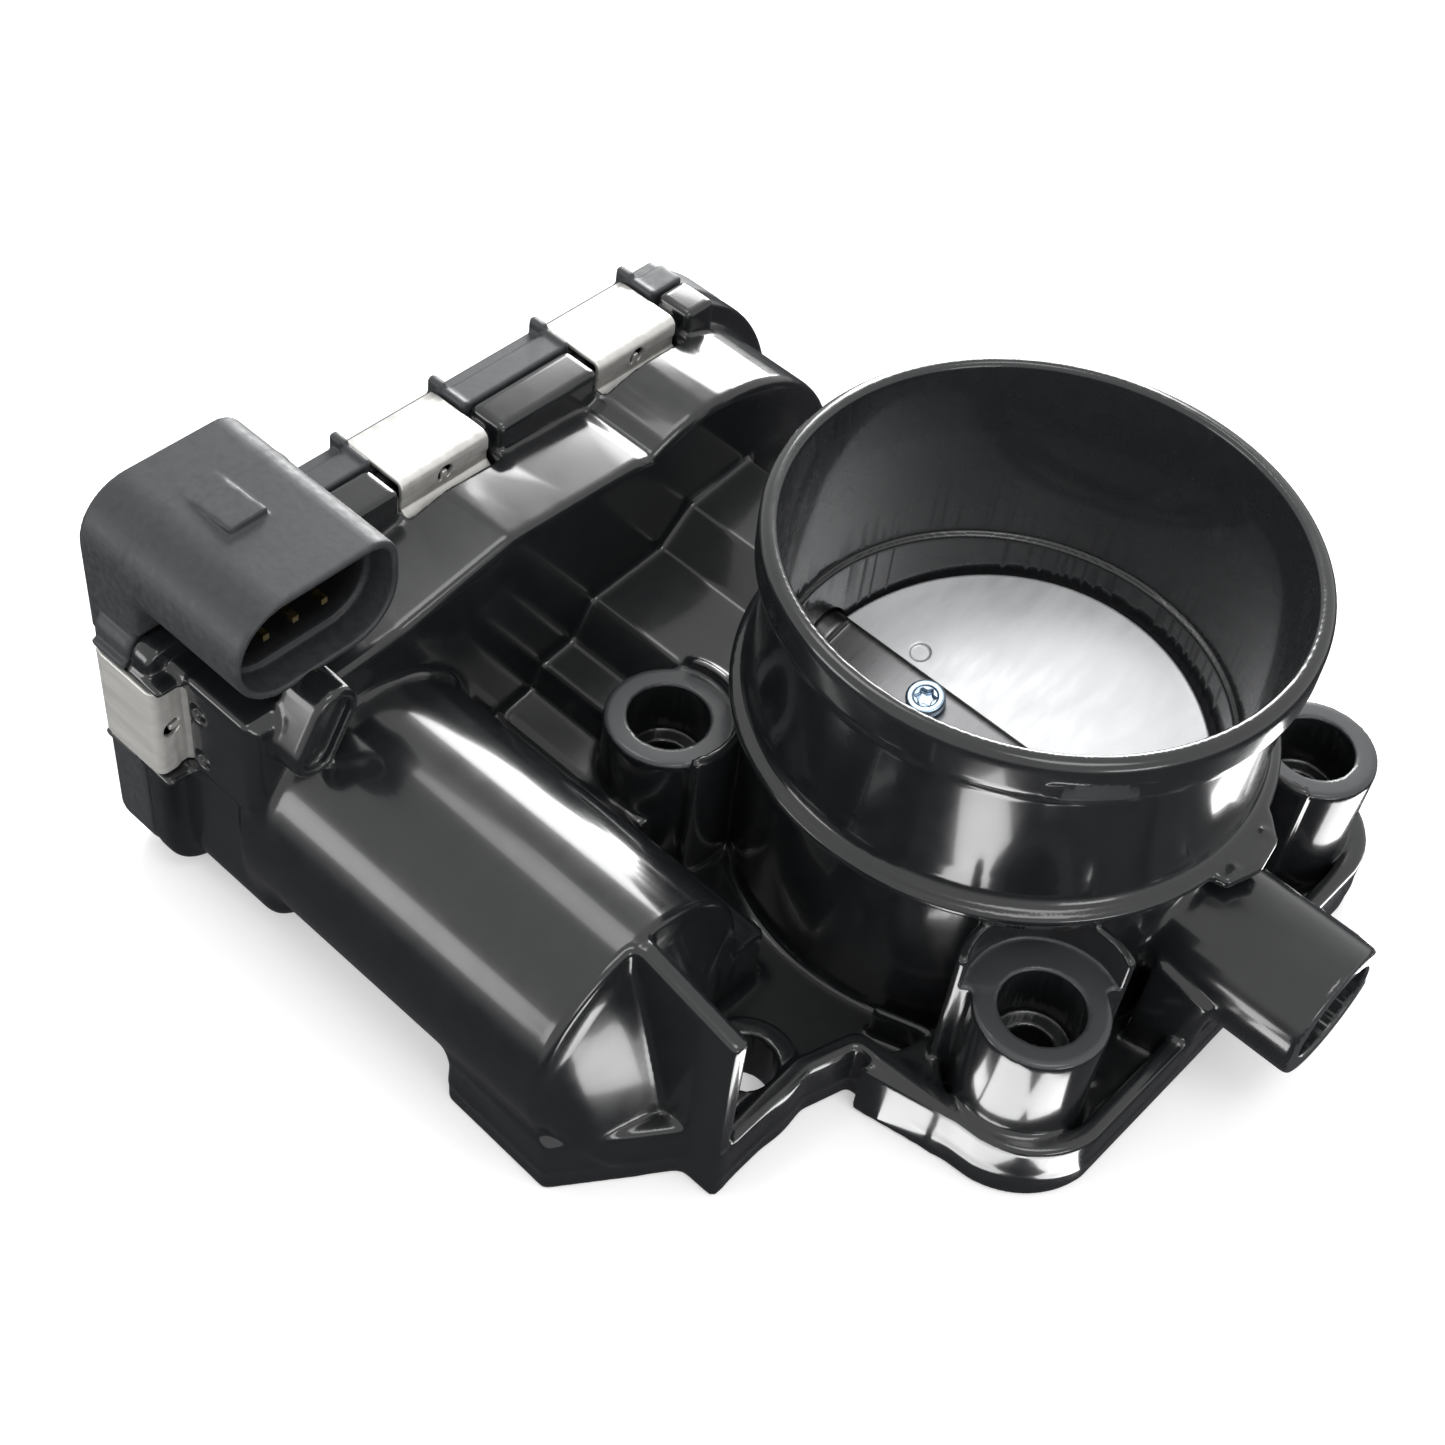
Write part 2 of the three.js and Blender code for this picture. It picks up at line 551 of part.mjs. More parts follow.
/** The clip on the round end of the case, level with the shaft. */
const endClip = () =>
  push('y', clipSection(CASE_ARC, CLIP.shortHook), -END_CLIP_HALF - SHAFT_Z, END_CLIP_HALF - SHAFT_Z)
    .rotate([-90, 0, 0]);

// ---------------------------------------------------------------- throttle

/** Tilts a solid modelled level by the plate's resting angle about the shaft axis. */
function tilted(body) {
  const turn = new THREE.Matrix4().makeTranslation(0, 0, SHAFT_Z)
    .multiply(new THREE.Matrix4().makeRotationX(REST_TILT))
    .multiply(new THREE.Matrix4().makeTranslation(0, 0, -SHAFT_Z));
  return body.transform(turn.elements.slice());
}

const SHAFT_FROM = -81;
const SHAFT_TO = 57;
const SCREW = { head: 3.1, height: 1.8, shank: 1.6 };

function throttleShaft() {
  const rod = bar('x', SHAFT_RADIUS, SHAFT_FROM, SHAFT_TO, 0, SHAFT_Z, 28);
  const flat = block(-31, 31, -6, 6, SHAFT_Z + SHAFT_FLAT, SHAFT_Z + 6);
  const slot = block(-PLATE_RADIUS - GAP, PLATE_RADIUS + GAP, -6, 6,
    SHAFT_Z - PLATE_THICKNESS / 2 - GAP, SHAFT_Z + PLATE_THICKNESS / 2 + GAP);
  const screwHoles = [-SCREW_X, SCREW_X].map((x) =>
    bar('z', SCREW.shank + GAP, SHAFT_Z - 3.5, SHAFT_Z + 6, x, 0, 16));
  const gearFlats = [-1, 1].map((side) =>
    block(SHAFT_FROM - 1, LEVEL_SECTOR[1] + 1.4, side > 0 ? 3.8 : -6, side > 0 ? 6 : -3.8,
      SHAFT_Z - 6, SHAFT_Z + 6));
  return tilted(cut(rod, flat, slot, ...screwHoles, ...gearFlats));
}

function throttlePlate() {
  const half = PLATE_THICKNESS / 2;
  const disc = bar('z', PLATE_RADIUS, SHAFT_Z - half, SHAFT_Z + half, 0, 0, 72);
  const holes = [-SCREW_X, SCREW_X].map((x) =>
    bar('z', SCREW.shank + GAP, SHAFT_Z - 3, SHAFT_Z + 3, x, 0, 16));
  const dimple = bar('z', 1.6, SHAFT_Z + half - 0.4, SHAFT_Z + 3, -20, 7.6, 16);
  return tilted(cut(disc, ...holes, dimple));
}

function plateScrew(x) {
  const seat = SHAFT_Z + SHAFT_FLAT + GAP;
  const head = bar('z', SCREW.head, seat, seat + SCREW.height, x, 0, 24);
  const shank = bar('z', SCREW.shank, SHAFT_Z - 3.2, seat + 0.1, x, 0, 16);
  const star = arc(x, 0, 1.5, 0, 330, 11).map(([a, b], i) => {
    const reach = i % 2 ? 0.72 : 1.15;
    return [x + (a - x) * reach, b * reach];
  });
  const drive = push('z', outline(star), seat + 0.7, seat + SCREW.height + 1);
  return tilted(cut(union(head, shank), drive));
}

function ring(outer, inner, from, to, y, z, sides = 28) {
  return cut(bar('x', outer, from, to, y, z, sides), bar('x', inner, from - 1, to + 1, y, z, sides));
}

const bearing = (from) =>
  ring(BEARING.outer, BEARING.inner, from, from + BEARING.length, 0, SHAFT_Z);
const shaftSeal = () =>
  ring(BEARING.outer, BEARING.inner, CASE_FRONT - 2.2, CASE_FRONT, 0, SHAFT_Z);
const endPlug = () =>
  bar('x', BEARING.outer, BEARING_BOSS_END - 5, BEARING_BOSS_END - 2.5, 0, SHAFT_Z, 28);

/** The D-sided hole by which the sector sits on the shaft. */
function shaftEndHole() {
  const round = bar('x', SHAFT_RADIUS + GAP, -90, -60, 0, SHAFT_Z, 28);
  return round.intersect(block(-90, -60, -4.1, 4.1, SHAFT_Z - 8, SHAFT_Z + 8));
}

const SECTOR_SPIN = alongTrain;
const SECTOR_FROM = -78; // degrees of toothed rim from the mesh, in the way that opening uses
const SECTOR_TO = 16;

function sectorGear() {
  const pitch = 360 / SECTOR.teeth;
  const toothed = (i) => {
    const angle = i * pitch > 180 ? i * pitch - 360 : i * pitch;
    return angle > SECTOR_FROM - pitch && angle < SECTOR_TO + pitch;
  };
  const rim = wheel(SECTOR, SHAFT_AXIS, LEVEL_SECTOR, SECTOR_SPIN, toothed);
  const startAngle = THREE.MathUtils.radToDeg(SECTOR_SPIN) + SECTOR_FROM - 1.6 * pitch;
  const endAngle = THREE.MathUtils.radToDeg(SECTOR_SPIN) + SECTOR_TO + 1.6 * pitch;
  const wedge = push('x', outline([[0, SHAFT_Z], ...arc(0, SHAFT_Z, 20, startAngle, endAngle, 10)]),
    LEVEL_SECTOR[0] - 1, LEVEL_SECTOR[1] + 1);
  const hub = bar('x', 8, LEVEL_SECTOR[0], LEVEL_SECTOR[1] + 1, 0, SHAFT_Z, 32);
  return cut(union(rim.intersect(wedge), hub), tilted(shaftEndHole()));
}

const secondSpin = meshSpin(SECTOR, SHAFT_AXIS, SECTOR_SPIN, SECOND_SMALL, SECOND_AXIS);
const firstSpin = meshSpin(SECOND_BIG, SECOND_AXIS, secondSpin, FIRST_SMALL, FIRST_AXIS);
const pinionSpin = meshSpin(FIRST_BIG, FIRST_AXIS, firstSpin, PINION, MOTOR_AXIS);

function secondGear() {
  const { y, z } = SECOND_AXIS;
  const body = union(
    wheel(SECOND_BIG, SECOND_AXIS, LEVEL_MIDDLE, secondSpin),
    bar('x', 6, LEVEL_MIDDLE[1] - 0.1, LEVEL_SECTOR[0] + 0.1, y, z, 24),
    wheel(SECOND_SMALL, SECOND_AXIS, LEVEL_SECTOR, secondSpin));
  return cut(body, bar('x', GEAR_PIN_RADIUS + GAP, -88, -60, y, z, 16));
}

function firstGear() {
  const { y, z } = FIRST_AXIS;
  const body = union(
    wheel(FIRST_SMALL, FIRST_AXIS, LEVEL_MIDDLE, firstSpin),
    bar('x', 4.6, LEVEL_MIDDLE[1] - 0.1, LEVEL_MOTOR[0] + 0.1, y, z, 24),
    wheel(FIRST_BIG, FIRST_AXIS, LEVEL_MOTOR, firstSpin));
  return cut(body, bar('x', GEAR_PIN_RADIUS + GAP, -88, -60, y, z, 16));
}

const gearPin = ({ y, z }) =>
  bar('x', GEAR_PIN_RADIUS, COVER_BACK + COVER_WALL + GAP, CASE_FRONT - 1.3, y, z, 16);

function returnSpring() {
  const { turns, radius, wire, from, to } = SPRING;
  const steps = 16 * turns;
  const points = Array.from({ length: steps + 1 }, (_, i) => {
    const angle = (i / 16) * 2 * Math.PI;
    return new THREE.Vector3(
      from + ((to - from) * i) / steps,
      radius * Math.cos(angle),
      SHAFT_Z + radius * Math.sin(angle));
  });
  const path = new THREE.CatmullRomCurve3(points);
  const section = outline(arc(0, 0, wire, 0, 300, 5));
  return solid(new THREE.ExtrudeGeometry(section, { steps, extrudePath: path, bevelEnabled: false }));
}

const sensorMagnet = () => ring(5.6, 2.2, LEVEL_SECTOR[0] - 4.6, SHAFT_FROM - GAP, 0, SHAFT_Z, 24);

const BOARD_BACK = -86.9;
const sensorBoard = () => block(BOARD_BACK, BOARD_BACK + 1.2, -5, 17, SHAFT_Z - 14, SHAFT_Z + 14);

// ---------------------------------------------------------------- motor

const MOTOR_BACK = -61.5;
const MOTOR_FRONT = -9;

function motorBody() {
  const can = bar('x', MOTOR_RADIUS, MOTOR_BACK, MOTOR_FRONT, MOTOR_Y, MOTOR_Z, 32);
  const tailHub = bar('x', 4, MOTOR_FRONT - 0.1, MOTOR_FRONT + 1.4, MOTOR_Y, MOTOR_Z, 20);
  return cut(union(can, tailHub), bar('x', 1.9, MOTOR_BACK - 1, MOTOR_FRONT + 3, MOTOR_Y, MOTOR_Z, 16));
}

const motorShaft = () => bar('x', 1.5, LEVEL_MOTOR[0] - 0.8, MOTOR_FRONT + 0.5, MOTOR_Y, MOTOR_Z, 16);

const motorPinion = () => cut(
  wheel(PINION, MOTOR_AXIS, LEVEL_MOTOR, pinionSpin),
  bar('x', 1.5 + GAP, -90, -60, MOTOR_Y, MOTOR_Z, 16));

const MOTOR_EARS = [60, 240].map((degrees) => {
  const angle = THREE.MathUtils.degToRad(degrees);
  return { y: MOTOR_Y + 13.2 * Math.cos(angle), z: MOTOR_Z + 13.2 * Math.sin(angle) };
});

function motorEndPlate() {
  const disc = bar('x', 16, MOTOR_BACK - 2 - GAP, MOTOR_BACK - GAP, MOTOR_Y, MOTOR_Z, 32);
  const ears = MOTOR_EARS.map(({ y, z }) => bar('x', 1.5, -70, -60, y, z, 16));
  return cut(disc, ...ears, bar('x', 2.4, -70, -60, MOTOR_Y, MOTOR_Z, 16));
}

const motorScrew = ({ y, z }) =>
  bar('x', 2.3, MOTOR_BACK - 3.5 - 2 * GAP, MOTOR_BACK - 2 - 2 * GAP, y, z, 16);

const flangeSeal = () => cut(
  bar('z', SEAL.outer - GAP, BASE_Z + 0.2, BASE_Z + SEAL.depth - GAP, 0, 0, 48),
  bar('z', SEAL.inner + GAP, BASE_Z - 1, BASE_Z + SEAL.depth + 1, 0, 0, 48));

// ---------------------------------------------------------------- assembly

const body = new THREE.Group();
body.position.set(
  -(PLUG.rear + BEARING_BOSS_END) / 2,
  -(CASE_LEFT - GAP - CLIP.thickness + BOSS_Y - 1 + FLANGE_CORNER) / 2,
  -BASE_Z);

const throttleBody = new THREE.Group();
throttleBody.add(body);
const add = (name, shape, finish) => body.add(part(name, shape, finish));

add('throttle_housing', throttleHousing(), coatedCasting());
add('gear_cover', gearCover(), darkPlastic());
pinPlaces().forEach((place, i) => add(`plug_pin_${i + 1}`, plugPin(place), brass()));
add('cover_gasket', coverGasket(), blackRubber());
TOP_CLIPS.forEach((y, i) => add(`cover_clip_top_${i + 1}`, topClip(y), sateenSteel()));
add('cover_clip_motor_side', sideClip(), sateenSteel());
add('cover_clip_round_end', endClip(), sateenSteel());
add('throttle_shaft', throttleShaft(), groundSteel());
add('throttle_plate', throttlePlate(), satinAluminium());
[-SCREW_X, SCREW_X].forEach((x, i) => add(`plate_screw_${i + 1}`, plateScrew(x), zincBlue()));
add('shaft_bearing_gear_side', bearing(CASE_FRONT + 0.5), groundSteel());
add('shaft_bearing_far_side', bearing(FAR_SEAT_START + 0.5), groundSteel());
add('shaft_seal', shaftSeal(), blackRubber());
add('bearing_end_plug', endPlug(), groundSteel());
add('sector_gear', sectorGear(), gearPlastic());
add('second_gear', secondGear(), gearPlastic());
add('first_gear', firstGear(), gearPlastic());
add('second_gear_pin', gearPin(SECOND_AXIS), groundSteel());
add('first_gear_pin', gearPin(FIRST_AXIS), groundSteel());
add('return_spring', returnSpring(), groundSteel());
add('sensor_magnet', sensorMagnet(), ferrite());
add('sensor_board', sensorBoard(), boardGreen());
add('motor_body', motorBody(), groundSteel());
add('motor_shaft', motorShaft(), groundSteel());
add('motor_pinion', motorPinion(), brass());
add('motor_end_plate', motorEndPlate(), darkPlastic());
MOTOR_EARS.forEach((place, i) => add(`motor_screw_${i + 1}`, motorScrew(place), groundSteel()));
add('flange_seal', flangeSeal(), blackRubber());

export default throttleBody;
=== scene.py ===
"""Electronic throttle body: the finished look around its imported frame.

The rigid castings and mouldings are built as distance fields, so that their walls meet in the
fillets and broken edges of real die-cast and moulded parts, and are then skinned and thinned.
Everything is laid out in millimetres in the bore frame: z = 0 at the step inside the bore, +X
along the throttle shaft away from the gears, the motor towards -Y. ORIGIN carries it over to the
row frame in metres.
"""
import itertools
import json
import math

import bmesh
import bpy
import numpy as np
from mathutils import Matrix, Vector


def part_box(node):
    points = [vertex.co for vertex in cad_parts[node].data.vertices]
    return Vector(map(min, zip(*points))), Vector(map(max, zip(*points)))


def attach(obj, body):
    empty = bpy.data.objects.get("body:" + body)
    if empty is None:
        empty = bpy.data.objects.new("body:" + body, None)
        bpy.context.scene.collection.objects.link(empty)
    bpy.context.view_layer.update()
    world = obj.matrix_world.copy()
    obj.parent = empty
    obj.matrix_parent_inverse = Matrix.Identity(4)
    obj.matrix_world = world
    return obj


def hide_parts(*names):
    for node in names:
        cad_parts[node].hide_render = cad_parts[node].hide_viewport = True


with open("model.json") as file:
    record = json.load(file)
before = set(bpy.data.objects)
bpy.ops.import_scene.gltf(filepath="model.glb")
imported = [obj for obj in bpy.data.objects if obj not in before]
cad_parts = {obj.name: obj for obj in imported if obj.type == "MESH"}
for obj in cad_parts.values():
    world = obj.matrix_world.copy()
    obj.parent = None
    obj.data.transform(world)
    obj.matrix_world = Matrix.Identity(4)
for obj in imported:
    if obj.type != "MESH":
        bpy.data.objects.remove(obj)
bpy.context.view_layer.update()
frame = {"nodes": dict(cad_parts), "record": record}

MM = 0.001


def middle(node):
    low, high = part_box(node)
    return (low + high) / 2


# ---------------------------------------------------------------- driving dimensions, mm

TUBE_TOP = 32.35
LIP_RADIUS = 40.0
LIP_BOTTOM = 25.0
LIP_MARK_TURN = -41.0  # where the small flat lies on the lip, degrees from +X
NECK_RADIUS = 38.2
INLET_RADIUS = 35.1
BORE_RADIUS = 34.0
COLLAR_RADIUS = 41.0
BODY_RADIUS = 38.5
BASE_Z = -36.0
FLANGE_TOP = -31.0
FLANGE_CORNER = 14.3
RIM_TOP = -24.5
RIM_THICKNESS = 3.0
BOSS_TOP = -7.5
BOSS_RADIUS = 9.8
BOSS_X, BOSS_Y = 35.3, 34.1
BOLT_SEATS = [(BOSS_X, -BOSS_Y), (BOSS_X, BOSS_Y), (-BOSS_X, -BOSS_Y), (-BOSS_X, BOSS_Y)]
SEAT_RADIUS, SEAT_DEPTH = 6.2, 10.0
SEAL_RADIUS, SEAL_WIDTH, SEAL_DEPTH = 37.9, 2.8, 2.4  # groove in the base
BOLT_RADIUS = 3.6
LUG_X, LUG_Y, LUG_RADIUS, LUG_TOP, LUG_HOLE = 6.5, -60.0, 8.0, -26.0, 4.6

SHAFT_Z = -14.0
SHAFT_RADIUS = 5.0
SHAFT_START, SHAFT_END = -81, 57
DRIVE_FLAT, DRIVE_END = 3.8, -71.1  # the flats that carry the toothed sector
PLATE_RADIUS = 33.6
PLATE_THICKNESS = 2.0
PLATE_MARK = (-20, 7.6)
SHAFT_FLAT = 3.2
SCREW_X = 12.5
SCREW_HOLE, SCREW_SHANK, SCREW_HEAD, SCREW_HEIGHT = 1.9, 1.6, 3.1, 1.8
STAR_OUTER, STAR_INNER = 1.75, 1.15
REST_TILT = math.radians(13.4)
BEARING_OUTER, BEARING_INNER = 7.5, 5.3
BEARING_STOPS = (-49, 47)  # how far in the two bearing seats reach
BEARING_BOSS_RADIUS, BEARING_BOSS_END = 11.0, 63.0
CAP_DISH = 5.2

MOTOR_Y, MOTOR_Z = -72.0, -15.0
CAN_RADIUS, CAN_END = 20.0, -4.0
MOTOR_BORE = 17.3
FIN_Y = (-74.6, -71.6)
CASE_FRONT, CASE_FLANGE, CASE_JOINT, COVER_BACK = -60.0, -78.0, -82.0, -90.0
BLOCK_FRONT = -75.0
CASE_WALL, COVER_WALL, JOINT_GAP = 3.0, 2.2, 0.3
CASE_BOTTOM, CASE_TOP, BLOCK_TOP, PLUG_LEDGE = -35.0, 18.6, 20.2, 14.0
CASE_LEFT, CASE_ARC = -94.0, 35.0
CASE_CORNER, FRONT_ARC, FRONT_LEFT = 9.0, 31.5, -90.5
CASE_STEP = -62.5  # where the case's top steps down to the plug's ledge
BLOCKS = [(CASE_STEP, -51.0), (-31.2, -11.2), (8.6, 14.8)]  # raised stretches between the clips
EAR = [(-84, 6.5), (-80.5, 12.5)]  # the oval ear above the motor, from middle to middle
RIM_WALL = CASE_WALL + 1.4
GASKET_INSET, GASKET_WIDTH, GASKET_DEPTH = 0.7, 1.6, 1.2
GEAR_ROOM, PIN_HOLE = 19.4, 2.3

PLUG_Y, PLUG_Z, PLUG_WIDTH, PLUG_HEIGHT, PLUG_WALL = -78.5, 24.0, 28.0, 17.0, 1.8
PLUG_MOUTH, PLUG_BACK, PLUG_REAR, PLUG_FLOOR = -60.0, -81.5, -92.8, -74.0
PLUG_CORNER = 4.5
PLUG_PIN_BACK = -88.8

CLIP_WIDTH, CLIP_SHEET, CLIP_BACK, CLIP_LIP = 17.0, 0.8, -88.8, -76.65
CLIP_DROP = 6.1  # how far a clip's lip reaches down
ROUND_CLIP_WIDTH, ROUND_CLIP_DROP = 12.0, 3.2
TOP_CLIPS = (-41.1, -1.3)
SIDE_CLIP_Z = 0.0
SIDE_GUIDES = (SIDE_CLIP_Z - 10.1, SIDE_CLIP_Z + 8.9)
NOTCH_DEPTH, NOTCH_HALF, NOTCH_WALL = 7.0, 9.0, 1.8  # room for a clip's lip
SIDE_NOTCH_HALF, NOTCH_REACH = 8.7, 2.5

ORIGIN = Vector((middle("flange_seal").x, middle("flange_seal").y,
                 middle("shaft_bearing_far_side").z - SHAFT_Z * MM))
STEP = 0.5  # spacing of the distance field of the casting, mm
FINE = 0.45  # of the cover
PLATE_STEP = 0.25  # of the butterfly plate
THIN = 0.22  # of sheet metal and turned parts
CASTING_FACES, COVER_FACES, PLATE_FACES, SHAFT_FACES = 190000, 150000, 120000, 90000
SMALL_FACES = 30000
PAST = 2  # how far a cut runs on past the face that it opens, mm

# ---------------------------------------------------------------- distance fields

PLANES = {"x": (1, 2, 0), "y": (2, 0, 1), "z": (0, 1, 2)}
FAR = 4.0


def smooth_min(a, b, reach):
    """The smaller of two distances, rounded over `reach` where they are alike."""
    if not reach:
        return np.minimum(a, b)
    blend = np.maximum(reach - np.abs(a - b), 0) / reach
    return np.minimum(a, b) - blend * blend * reach / 4


def corner(a, b, radius):
    """Distance to the meet of two half spaces whose common edge has this radius."""
    outside = np.hypot(np.maximum(a + radius, 0), np.maximum(b + radius, 0))
    return np.minimum(np.maximum(a, b) + radius, 0) + outside - radius


class Outline:
    """A closed flat shape: distance(u, v), and the corners of its box."""

    def __init__(self, distance, low, high):
        self.distance, self.low, self.high = distance, low, high

    def wall(self, thickness):
        """Only the outermost `thickness` of the shape."""
        def distance(u, v):
            side = self.distance(u, v)
            return np.maximum(side, -side - thickness)
        return Outline(distance, self.low, self.high)


def circle(a, b, radius):
    low, high = (a - radius, b - radius), (a + radius, b + radius)
    return Outline(lambda u, v: np.hypot(u - a, v - b) - radius, low, high)


def polygon(points):
    def distance(u, v):
        nearest, inside = np.inf, False
        for (a, b), (c, d) in zip(points, points[1:] + points[:1]):
            along = ((u - a) * (c - a) + (v - b) * (d - b)) / ((c - a) ** 2 + (d - b) ** 2)
            along = np.clip(along, 0, 1)
            gap = (u - a - along * (c - a)) ** 2 + (v - b - along * (d - b)) ** 2
            nearest = np.minimum(nearest, gap)
            if b != d:
                crossed = (np.minimum(b, d) <= v) & (v < np.maximum(b, d))
                inside = inside ^ (crossed & (u < a + (c - a) * (v - b) / (d - b)))
        return np.where(inside, -1, 1) * np.sqrt(nearest)
    low = [min(p[i] for p in points) for i in (0, 1)]
    high = [max(p[i] for p in points) for i in (0, 1)]
    return Outline(distance, low, high)


def rectangle(a0, a1, b0, b1, radius=0.0):
    """A rectangle with rounded corners."""
    def distance(u, v):
        across = np.abs(u - (a0 + a1) / 2) - (a1 - a0) / 2
        up = np.abs(v - (b0 + b1) / 2) - (b1 - b0) / 2
        return corner(across, up, radius)
    return Outline(distance, (a0, b0), (a1, b1))


def strip(points, thickness):
    """A band of even thickness along a path, round at its ends."""
    def distance(u, v):
        nearest = np.inf
        for (a, b), (c, d) in zip(points, points[1:]):
            along = ((u - a) * (c - a) + (v - b) * (d - b)) / ((c - a) ** 2 + (d - b) ** 2)
            along = np.clip(along, 0, 1)
            nearest = np.minimum(nearest, np.hypot(u - a - along * (c - a), v - b - along * (d - b)))
        return nearest - thickness / 2
    low = [min(p[i] for p in points) - thickness for i in (0, 1)]
    high = [max(p[i] for p in points) + thickness for i in (0, 1)]
    return Outline(distance, low, high)


def arc(a, b, radius, start, end, steps):
    """Points on an arc, angles in degrees."""
    turns = np.radians(np.linspace(start, end, steps + 1))
    return [(a + radius * math.cos(t), b + radius * math.sin(t)) for t in turns]


class Solid:
    """A shape in space: distance(x, y, z), and the corners of its box."""

    def __init__(self, distance, low, high):
        self.distance = distance
        self.low, self.high = np.array(low, float), np.array(high, float)

    def beyond(self, normal, offset, edge=0.0):
        """What lies on the far side of a plane: normal . p >= offset."""
        n = np.array(normal, float)
        n /= np.linalg.norm(n)

        def distance(*grid):
            plane = offset - sum(n[i] * grid[i] for i in range(3))
            return corner(self.distance(*grid), plane, edge)
        return Solid(distance, self.low, self.high)


def push(axis, outline, start, end, edge=0.4, draft=0.0):
    """An outline pushed along an axis: (y, z) along x, (z, x) along y, (x, y) along z.
    `draft` narrows it towards the end by that many mm for each mm."""
    u, v, w = PLANES[axis]

    def distance(*grid):
        side = outline.distance(grid[u], grid[v])
        if draft:
            side = side + draft * (grid[w] - start)
        cap = np.abs(grid[w] - (start + end) / 2) - (end - start) / 2
        return corner(side, cap, edge)

    low, high = np.zeros(3), np.zeros(3)
    low[[u, v, w]] = *outline.low, start
    high[[u, v, w]] = *outline.high, end
    return Solid(distance, low, high)


def without(solid, other):
    """A solid less another one."""
    def distance(*grid):
        return np.maximum(solid.distance(*grid), -other.distance(*grid))
    return Solid(distance, solid.low, solid.high)


def bar(axis, radius, start, end, a, b, edge=0.4):
    return push(axis, circle(a, b, radius), start, end, edge)


def block(x0, x1, y0, y1, z0, z1, edge=0.5):
    return push("z", rectangle(x0, x1, y0, y1, edge), z0, z1, edge)


def turned(axis, profile, a=0.0, b=0.0):
    """A profile of (radius, along) points turned about an axis through (a, b)."""
    u, v, w = PLANES[axis]
    shape = polygon(profile)

    def distance(*grid):
        return shape.distance(np.hypot(grid[u] - a, grid[v] - b), grid[w])

    reach = shape.high[0]
    low, high = np.zeros(3), np.zeros(3)
    low[[u, v, w]] = a - reach, b - reach, shape.low[1]
    high[[u, v, w]] = a + reach, b + reach, shape.high[1]
    return Solid(distance, low, high)


def hull(points, edge=0.6):
    """The convex solid around some points, with softened edges."""
    shell = bmesh.new()
    for point in points:
        shell.verts.new(point)
    bmesh.ops.convex_hull(shell, input=shell.verts)
    faces = [f for f in shell.faces if f.calc_area() > 1e-4]
    planes = {tuple(round(x, 2) for x in (*f.normal, f.normal.dot(f.verts[0].co))) for f in faces}
    shell.free()

    def distance(*grid):
        result = None
        for nx, ny, nz, offset in sorted(planes):
            side = nx * grid[0] + ny * grid[1] + nz * grid[2] - offset
            result = side if result is None else -smooth_min(-result, -side, edge)
        return result

    spread = np.array(points, float)
    return Solid(distance, spread.min(0), spread.max(0))


